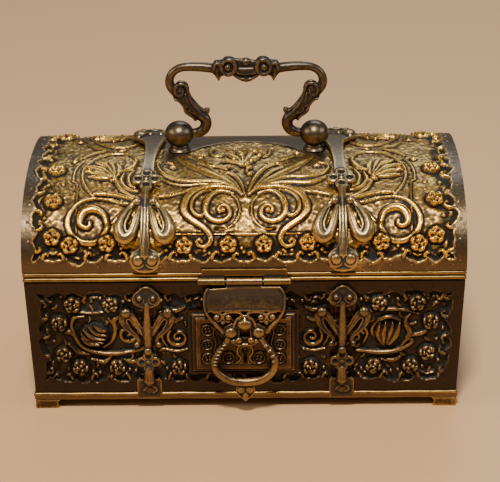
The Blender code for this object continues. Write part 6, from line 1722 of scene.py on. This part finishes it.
def hasp_places(points):
    """Places of a flat casting hung from the hasp's hinge, bent forward to clear the lock plate."""
    below = points[:, 1]
    up = (HASP_Z + below - WALL_BOTTOM) / math.cos(FRONT_TILT)
    lock_face = on_wall(np.zeros_like(up), up, np.full_like(up, LOCK_PROUD + HASP_CLEARANCE))[:, 1]
    share = eased((-below - 2.0) / 9.0)
    forward = -0.2 + (HASP_Y - lock_face + 0.2) * share
    return np.stack([points[:, 0], HASP_Y - forward - points[:, 2], HASP_Z + below], axis=-1)


def hasp_plate(casting):
    """Barrel, plain plate with a raised edge that runs down into the shoulders, and the scrolls below it."""
    half = HASP_MIDDLE_HALF - 0.05
    casting.rod([(-half, 0, 0.2), (half, 0, 0.2)], (HASP_BARREL, HASP_BARREL), 24, square=True)
    casting.plate([(-6.4, -0.8), (6.4, -0.8), (6.4, -3.2), (-6.4, -3.2)], -0.2, 0.9)
    right_half = [
        (0, -1.9), (12.9, -1.9), (13.9, -2.7), (14.6, -4.6), (14.8, -7.2), (14.5, -9.4), (13.9, -11.2),
        (10.6, -10.5), (0, -10.6),
    ]
    casting.plate(mirrored_outline(right_half)[:-1], 0.0, 1.2)
    edge = (
        (13.0, -2.3, 1.1), (14.3, -4.4, 1.1), (14.5, -7.4, 1.1), (13.9, -10.8, 1.1), (12.2, -13.8, 1.0),
        (9.8, -16.6, 1.0), (7.8, -19.2, 1.0),
    )
    casting.rods(edge, (0.35, 0.42, 0.45, 0.6, 0.75, 0.8))
    casting.rod([(-11.8, -10.4, 1.0), (0, -10.2, 1.05), (11.8, -10.4, 1.0)], (0.35, 0.4, 0.35))
    scroll_radii = (0.55, 0.6, 0.6, 0.5)
    outer = ((11.4, -10.9, 0.8), (9.4, -11.0, 0.9), (8.2, -12.4, 0.9), (8.6, -14.0, 0.9), (10.0, -14.4, 0.9))
    inner = (
        (1.3, -13.0, 0.9), (1.2, -11.6, 0.9), (3.2, -10.9, 0.9), (6.0, -11.1, 0.9), (7.7, -12.6, 0.9),
        (7.1, -14.4, 0.9), (5.6, -14.8, 0.9),
    )
    casting.rods(outer, scroll_radii)
    casting.rods(inner, scroll_radii)
    for x, y, size in ((10.1, -12.9, 1.2), (5.8, -13.0, 1.2), (1.9, -13.3, 0.75), (7.9, -15.2, 0.85)):
        casting.balls(x, y, 1.0, (size, size, size))
        casting.balls(x, y, 0.2, (size * 0.8, size * 0.8, 0.7))


def hasp_acorn(casting):
    """Acorn in its cup between two shoulders, on a plate with an opening."""
    plate = [
        (-7.4, -17.0), (-5.0, -15.6), (5.0, -15.6), (7.4, -17.0), (7.4, -21.5), (5.2, -23.4), (-5.2, -23.4),
        (-7.4, -21.5),
    ]
    opening = [(-1.9, -18.0), (-1.9, -21.0), (1.9, -21.0), (1.9, -18.0)]
    casting.plate(plate, 0.0, 1.0, [opening])
    leaf = ((0.2, -12.3, 1.2), (2.6, -13.6, 1.2), (3.7, -15.6, 1.2), (4.0, -17.4, 1.1))
    casting.rods(leaf, (0.4, 0.55, 0.6, 0.45))
    casting.ball((0, -15.6, 1.7), (2.7, 2.1, 1.7))
    casting.rod([(0, -14.4, 1.9), (0, -12.9, 1.6)], (1.4, 0.35))
    casting.rod([(-2.6, -17.2, 1.2), (0, -17.9, 1.4), (2.6, -17.2, 1.2)], (0.35, 0.45, 0.35))
    casting.balls(5.0, -19.0, 1.5, (2.3, 2.1, 1.5))
    casting.balls(2.2, -22.1, 1.6, (1.35, 1.35, 1.2))
    casting.balls(4.0, -22.6, 1.4, (1.3, 1.0, 0.9))


def hasp_ring(casting):
    """Pear-shaped ring with notches along its upper sides, and the heart that hangs from its foot."""
    ring = (
        (-5.9, -21.4), (-7.6, -24.2), (-9.7, -27.0), (-11.2, -30.4), (-11.0, -33.8), (-9.0, -36.6),
        (-5.4, -38.8), (0, -39.6), (5.4, -38.8), (8.9, -36.6), (10.7, -33.6), (10.9, -30.4), (9.6, -27.0),
        (7.5, -24.2), (5.9, -21.4),
    )
    radii = (1.0, 1.2, 1.3, 1.3, 1.45, 1.6, 1.7, 1.6, 1.45, 1.35, 1.3, 1.2, 1.0)
    casting.rod([(x, y, 1.3) for x, y in ring], radii, 16)
    for number in range(7):
        share = number / 6
        x = -7.6 - 3.4 * math.sin(share * 1.45)
        casting.ball((x, -23.8 - 8.2 * share, 2.1), (1.15, 0.52, 1.0))
    for number in range(4):
        share = number / 3
        casting.ball((7.6 + 3.0 * math.sin(share * 1.4), -24.2 - 6.4 * share, 2.1), (1.2, 0.7, 1.0), 0.5)
    collar = [(-5.2, -22.6, 1.0), (-2.9, -23.9, 1.1), (0, -24.2, 1.1), (2.9, -23.9, 1.1), (5.2, -22.6, 1.0)]
    casting.rod(collar, (0.55, 0.7, 0.55))
    heart = [(0, -40.6), (1.4, -40.4), (2.9, -41.2), (3.4, -42.6), (2.9, -44.4), (1.4, -46.4), (0, -47.6)]
    casting.plate(mirrored_outline(heart)[:-1], 0.3, 1.6)
    casting.balls(1.35, -42.6, 1.5, (1.7, 1.8, 0.9))
    casting.balls(1.1, -43.0, 2.3, (0.45, 0.5, 0.4))
    casting.ball((0, -44.6, 1.5), (1.3, 2.4, 0.8))
    rim = ((0.2, -40.9, 1.5), (1.9, -40.6, 1.5), (3.2, -42.2, 1.5), (2.7, -44.5, 1.5), (0.2, -47.3, 1.5))
    casting.rods(rim, (0.3, 0.35, 0.3), 8)


def build_hasp():
    casting = Casting()
    hasp_plate(casting)
    hasp_acorn(casting)
    hasp_ring(casting)
    points, faces = casting.melted(HASP_GRAIN)
    add_casting("hasp_cast", hasp_places(points), faces, "hasp", "cast_brass", HASP_BRASS, "hasp")


def build_hasp_leaf():
    """Leaf on the lid's rim, with a barrel at each end for the hasp's pin."""
    inner = HASP_MIDDLE_HALF + 0.3
    clear = HASP_BARREL + GAP
    top = HASP_BARREL + HASP_LEAF_HEIGHT
    side = inner + 0.1
    outline = [
        (-HASP_LEAF_HALF, 0.3), (-side, 0.3), (-side, clear), (side, clear), (side, 0.3),
        (HASP_LEAF_HALF, 0.3), (HASP_LEAF_HALF, top), (-HASP_LEAF_HALF, top),
    ]
    casting = Casting()
    casting.plate(outline, 0.0, 0.8)
    for side in (-1, 1):
        barrel = [(side * (inner + 0.05), 0, HASP_BARREL), (side * HASP_BARREL_HALF, 0, HASP_BARREL)]
        casting.rod(barrel, (HASP_BARREL, HASP_BARREL), 24, square=True)
    points, faces = casting.melted(LEAF_GRAIN, 2)
    back = HASP_Y + HASP_BARREL
    places = np.stack([points[:, 0], back - points[:, 2], HASP_Z + points[:, 1]], axis=-1)
    add_casting("hasp_leaf_cast", places, faces, "lid", "bright_brass", RIM_BRASS, "hasp_hinge_leaf")


build_hasp()
build_hasp_leaf()

# Handle
# Two turned brass knobs stand on studs through the lid's crown. The cast bail between them turns on pins
# in their inner sides: plain bends, leafy arms that end in scrolls, and a scrolled middle.
knob_low, knob_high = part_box("handle_knob_left")
right_knob_low, right_knob_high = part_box("handle_knob_right")
KNOB_X = ((knob_low.x + knob_high.x) / 2 / MM, (right_knob_low.x + right_knob_high.x) / 2 / MM)
HANDLE_X = sum(KNOB_X) / 2
KNOB_RADIUS = (knob_high.x - knob_low.x) / 2 / MM
KNOB_SWELL = 0.3
KNOB_HALF_HEIGHT = 4.8
KNOB_CENTRE = knob_high.z / MM - KNOB_HALF_HEIGHT
KNOB_SEAT = KNOB_CENTRE - KNOB_HALF_HEIGHT - 2.05
STUD_RADIUS = 1.25
BAIL_GRAIN = 0.2
PIVOT_BORE = 1.4
PIVOT_RADIUS = 1.1
PIVOT_LENGTH = 3.6
PIVOT_PLAY = 0.9
BROWN_BRASS = brass(
    "brown_brass", gold=(0.31, 0.215, 0.12), brown=(0.066, 0.053, 0.042),
    rubbed=0.26, dirt=0.6, verdigris=0.3, grain=0.00003, uneven=0.7,
)


def turned_piece(name, profile, x, y):
    """Closed shape turned about an upright axis."""
    sides = 64
    points = []
    for radius, height in profile:
        points += [(*around(x, y, radius, number * 2 * math.pi / sides), height) for number in range(sides)]
    last = len(points) - sides
    faces = [list(range(sides))] + walls_between(len(profile), sides) + [list(range(last, last + sides))]
    return cast_mesh(name, points, faces)


def build_knob(name, x, inward):
    """Knob turned from the top down: ball, neck, foot ring and stud; its pivot bore is on the inner side."""
    profile = []
    for number in range(1, 25):
        angle = math.radians(90 - number * 6.5)
        reach = (KNOB_RADIUS + KNOB_SWELL) * math.cos(angle)
        profile.append((reach, KNOB_CENTRE - 0.25 + (KNOB_HALF_HEIGHT + 0.1) * math.sin(angle)))
    foot = knob_low.z / MM
    profile += [
        (3.4, KNOB_CENTRE - 4.3), (3.35, KNOB_CENTRE - 4.9), (3.5, KNOB_CENTRE - 5.5),
        (3.85, KNOB_SEAT + 0.75), (4.1, KNOB_SEAT + 0.6), (4.25, KNOB_SEAT + 0.35), (4.1, KNOB_SEAT + 0.05),
        (STUD_RADIUS, KNOB_SEAT), (STUD_RADIUS, foot),
    ]
    mesh = turned_piece(f"knob_{name}_turned", profile, x, CASE_MIDDLE_Y)
    # Painted shade: the neck and seat under the ball are noted as hollow, so the black of the hollows darkens
    # them as the ball shades them.
    grime = mesh.attributes.new("hollow", "FLOAT", "POINT")
    for point in mesh.vertices:
        grime.data[point.index].value = 0.7 if point.co.z / MM < KNOB_CENTRE - 4.5 else 0.0
    item = add_piece(f"knob_{name}_turned", mesh, "lid", "brown_brass", BROWN_BRASS, f"handle_knob_{name}")
    bpy.ops.mesh.primitive_cylinder_add(vertices=32, radius=PIVOT_BORE * MM, depth=2 * KNOB_RADIUS * MM)
    drill = bpy.context.object
    end = KNOB_RADIUS - PIVOT_LENGTH - PIVOT_PLAY
    middle = Vector((x + inward * (end + KNOB_RADIUS), CASE_MIDDLE_Y, KNOB_CENTRE))
    drill.matrix_world = Matrix.Translation(middle * MM) @ Matrix.Rotation(math.pi / 2, 4, "Y")
    bore = item.modifiers.new("pivot_bore", "BOOLEAN")
    bore.operation = "DIFFERENCE"
    bore.object = drill
    bored = bpy.data.meshes.new_from_object(item.evaluated_get(bpy.context.evaluated_depsgraph_get()))
    item.modifiers.clear()
    item.data = bored
    bpy.data.objects.remove(drill, do_unlink=True)


ARM_OUTLINE = (
    (27.4, 14.4), (26.8, 13.0), (25.3, 12.6), (23.9, 10.9), (23.4, 8.8), (21.8, 7.2), (20.3, 6.3),
    (19.4, 4.7), (18.4, 5.4), (17.6, 6.6), (15.2, 6.4), (14.3, 7.8), (13.9, 9.2), (14.7, 10.0), (15.9, 9.3),
    (17.2, 10.2), (18.9, 12.2), (20.4, 14.2), (21.3, 16.4), (21.9, 18.0), (24.0, 19.8), (27.0, 18.5),
)
MIDDLE_OUTLINE = (
    (0, 28.6), (3.6, 28.2), (6.6, 29.2), (9.4, 28.4), (12.2, 27.2), (12.8, 24.4), (12.4, 23.6), (11.2, 22.4),
    (10.2, 20.4), (9.2, 22.3), (7.6, 23.0), (5.1, 22.9), (3.4, 21.7), (1.8, 20.5), (0, 20.1),
)
ARM_LEAVES = (
    ((16.2, 6.6), (17.6, 8.8), (19.6, 11.2), (20.9, 13.8), (21.6, 16.2)),
    ((17.2, 6.2), (19.2, 8.0), (21.2, 9.2), (21.0, 11.0), (22.6, 11.4), (24.4, 12.6)),
    ((19.4, 5.8), (20.9, 7.4), (22.6, 8.8), (23.2, 10.8), (25.0, 12.9), (26.6, 13.6)),
    ((21.2, 11.8), (22.2, 13.6), (22.6, 15.6)),
)
ARM_SCROLL = (
    (21.6, 16.0), (22.4, 18.9), (24.8, 19.6), (26.6, 17.6), (25.8, 15.2), (23.9, 15.4), (23.6, 17.0),
)
MIDDLE_VOLUTE = (
    (12.0, 25.2), (11.2, 27.4), (9.4, 26.8), (8.6, 24.4), (6.8, 23.2), (4.6, 24.2), (4.0, 26.6),
    (5.2, 28.5), (7.4, 28.6), (8.9, 27.0),
)


def bail_arm(casting, side):
    """Carving of one arm on both faces: leaves laid over each other, a curl at each side and a round boss."""
    def beside(points, out):
        return [(side * x, up, out) for x, up in points]

    casting.plate([(side * x, up) for x, up in ARM_OUTLINE], -1.15, 1.15)
    for out in (-1.0, 1.0):
        for leaf in ARM_LEAVES:
            casting.rod(beside(leaf, 1.35 * out), (0.35, 0.7, 0.75, 0.6, 0.35), 8)
        casting.ball((side * 19.2, 8.6, 1.3 * out), (1.5, 1.2, 0.8), side * 0.7)
        casting.ball((side * 22.4, 11.0, 1.3 * out), (1.2, 1.0, 0.8), side * 0.7)
        casting.rod(beside(ARM_SCROLL, 1.5 * out), (0.5, 0.6, 0.65, 0.6, 0.5), 8)
        casting.rod(beside(MIDDLE_VOLUTE, 1.6 * out), (0.6, 0.8, 0.85, 0.9, 0.85, 0.7), 8)
        casting.ball((side * 6.8, 25.8, 1.9 * out), (1.2, 1.2, 0.7))
        casting.rod(beside(((4.6, 24.6), (2.2, 23.6), (0, 23.3)), 1.6 * out), (0.5, 0.5, 0.45), 8)
        casting.rod(beside(((4.4, 22.8), (2.4, 21.6), (0, 21.2)), 1.2 * out), (0.5, 0.6, 0.6), 8)
    casting.ball((side * 24.7, 17.2, 0), (2.55, 2.45, 1.9))
    casting.ball((side * 22.1, 17.6, 0), (1.0, 1.0, 1.1))
    casting.ball((side * 14.7, 9.0, 0), (1.05, 1.15, 1.35))
    casting.rod(beside(((17.4, 7.0), (15.9, 7.4), (14.9, 8.6)), 0), (1.6, 1.4, 1.1))
    casting.ball((side * 6.4, 26.6, 0), (2.8, 2.7, 1.75))
    casting.ball((side * 10.9, 26.2, 0), (1.5, 1.9, 1.7))
    casting.rod(beside(((10.9, 24.6), (10.4, 22.6), (10.2, 20.9)), 0), (1.9, 1.3, 0.5))


def build_bail():
    """Bail from its pivots up: bends clear of the knobs, arms that lean outward and a bar across the top."""
    face = KNOB_X[1] - HANDLE_X - KNOB_RADIUS
    path = (
        (face - 0.2, 0.0), (face - 2.2, 0.3), (face - 3.9, 1.3), (face - 4.9, 3.2), (face - 4.7, 5.4),
        (17.4, 7.2), (19.6, 9.2), (21.6, 11.6), (23.8, 13.9), (26.2, 16.0), (28.2, 18.6), (28.5, 21.2),
        (27.2, 23.8), (24.8, 25.4), (22.0, 25.9), (18.0, 25.9), (14.2, 25.6), (11.2, 25.1), (8.0, 24.9),
        (4.0, 24.6), (0.0, 24.4),
    )
    radii = (
        1.75, 2.0, 2.15, 2.1, 2.05, 1.95, 1.9, 1.85, 1.8, 1.6, 1.5, 1.55, 1.7, 1.8, 1.85, 1.85, 1.85,
        1.9, 1.9,
    )
    casting = Casting()
    for side in (-1, 1):
        casting.rod([(side * x, up, 0) for x, up in path], radii, 20)
        bail_arm(casting, side)
        pivot = [(side * (face - 1.0), 0, 0), (side * (face + PIVOT_LENGTH - PIVOT_PLAY), 0, 0)]
        casting.rod(pivot, (PIVOT_RADIUS, PIVOT_RADIUS))
        casting.ball((side * 2.4, 27.4, 0), (0.95, 1.1, 1.2))
    casting.plate(mirrored_outline(MIDDLE_OUTLINE)[:-1], -1.1, 1.1)
    casting.ball((0, 27.6, 0), (1.8, 1.8, 1.8))
    casting.ball((0, 21.8, 0), (2.0, 1.7, 1.6))
    points, faces = casting.melted(BAIL_GRAIN)
    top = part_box("bail")[1].z / MM - KNOB_CENTRE
    up = np.minimum(points[:, 1], top) + KNOB_CENTRE
    places = np.stack([points[:, 0] + HANDLE_X, CASE_MIDDLE_Y - points[:, 2], up], axis=-1)
    add_casting("bail_cast", places, faces, "handle", "brown_brass", BROWN_BRASS, "bail")


build_knob("left", KNOB_X[0], 1)
build_knob("right", KNOB_X[1], -1)
build_bail()

# Inside of the casket
# Plain sheet brass shells carry the covers and a velvet lining. Behind the lock plate sit the steel lock
# parts: back plate, key post, bolt, keeper and spring. Hinge and hasp pins are steel too, and the hinge
# leaves, the nuts and the staple are brass. All of them are shown by the CAD model's own shapes.
SHELL_BRASS = brass(
    "shell_brass", gold=(0.46, 0.30, 0.12), brown=(0.15, 0.10, 0.055),
    rubbed=0.35, dirt=0.5, verdigris=0.2, grain=0.00005,
)
FITTING_BRASS = brass(
    "fitting_brass", gold=(0.48, 0.31, 0.12), brown=(0.16, 0.105, 0.05),
    rubbed=0.5, dirt=0.5, verdigris=0.2, grain=0.00003, uneven=0.7,
)
STEEL_DARK = (0.035, 0.036, 0.040)
STEEL_LIGHT = (0.085, 0.083, 0.080)
STEEL_RUST = (0.075, 0.032, 0.014)
VELVET_DARK = (0.075, 0.008, 0.012)
VELVET_LIGHT = (0.17, 0.022, 0.03)
VELVET_SHADE = (0.03, 0.004, 0.006)
VELVET_SHEEN = (0.85, 0.35, 0.38, 1)


def finish_nodes(material, *nodes):
    """Gives these parts of the CAD model their finish."""
    for node in nodes:
        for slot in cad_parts[node].material_slots:
            slot.material = material


def build_worn_steel():
    """Group: dark steel with rusty patches and fine unevenness."""
    tree, given, result, place = new_finish_group("worn_steel", {"Rust": 0.3}, {}, ("Roughness", "Height"))
    patchy = noise_at(tree, place, 240.0, 4.0, 0.6)
    fine = noise_at(tree, place, 1700.0, 3.0, 0.6)
    rusty = patches(patchy, 0.52, 6.0) * given["Rust"]
    steel = blended(tree, fine, STEEL_DARK, STEEL_LIGHT)
    wire(tree, blended(tree, rusty, steel, STEEL_RUST), result["Color"])
    wire(tree, patchy * 0.5 + 0.2, result["Roughness"])
    wire(tree, patchy + fine * 0.6, result["Height"])
    return tree


def dark_steel():
    material, tree, shader = new_material("dark_steel")
    shader.inputs["Metallic"].default_value = 0.9
    group = add_node(tree, "ShaderNodeGroup", node_tree=build_worn_steel())
    wire(tree, group.outputs["Color"], shader.inputs["Base Color"])
    wire(tree, group.outputs["Roughness"], shader.inputs["Roughness"])
    add_grain(tree, shader, group.outputs["Height"], 0.5, 0.00005)
    return material


def lining_velvet():
    """Short cotton velvet: crushed patches get painted shade and painted sheen where the pile lies another
    way, the pile gets fine painted shade, and it shows as fine bumps.
    """
    material, tree, shader = new_material("lining_velvet")
    shader.inputs["Sheen Weight"].default_value = 0.6
    shader.inputs["Sheen Roughness"].default_value = 0.35
    shader.inputs["Sheen Tint"].default_value = VELVET_SHEEN
    place = add_node(tree, "ShaderNodeTexCoord").outputs["Object"]
    crushed = noise_at(tree, place, 55.0, 3.0)
    pile = noise_at(tree, place, 3200.0, 2.0, 0.6)
    # Painted shade and sheen: crushed patches mix the dark and light velvet, and the pile mixes in the shade
    # colour.
    cloth = blended(tree, patches(crushed, 0.36, 3.4), VELVET_DARK, VELVET_LIGHT)
    wire(tree, blended(tree, pile * 0.5, cloth, VELVET_SHADE), shader.inputs["Base Color"])
    wire(tree, pile * 0.2 + 0.78, shader.inputs["Roughness"])
    add_grain(tree, shader, pile + crushed * 2.0, 0.7, 0.00025)
    return material


finish_nodes(SHELL_BRASS, "case_shell", "lid_shell", "base_plate")
finish_nodes(FITTING_BRASS, "hasp_staple")
DARK_STEEL = dark_steel()
for hand in ("left", "right"):
    finish_nodes(FITTING_BRASS, f"hinge_case_leaf_{hand}", f"hinge_lid_leaf_{hand}", f"knob_nut_{hand}")
    finish_nodes(DARK_STEEL, f"hinge_pin_{hand}")
finish_nodes(DARK_STEEL, "hasp_hinge_pin", "lock_back_plate", "lock_key_post")
finish_nodes(DARK_STEEL, "lock_bolt", "lock_bolt_keeper", "lock_spring")
finish_nodes(lining_velvet(), "case_lining", "lid_lining")
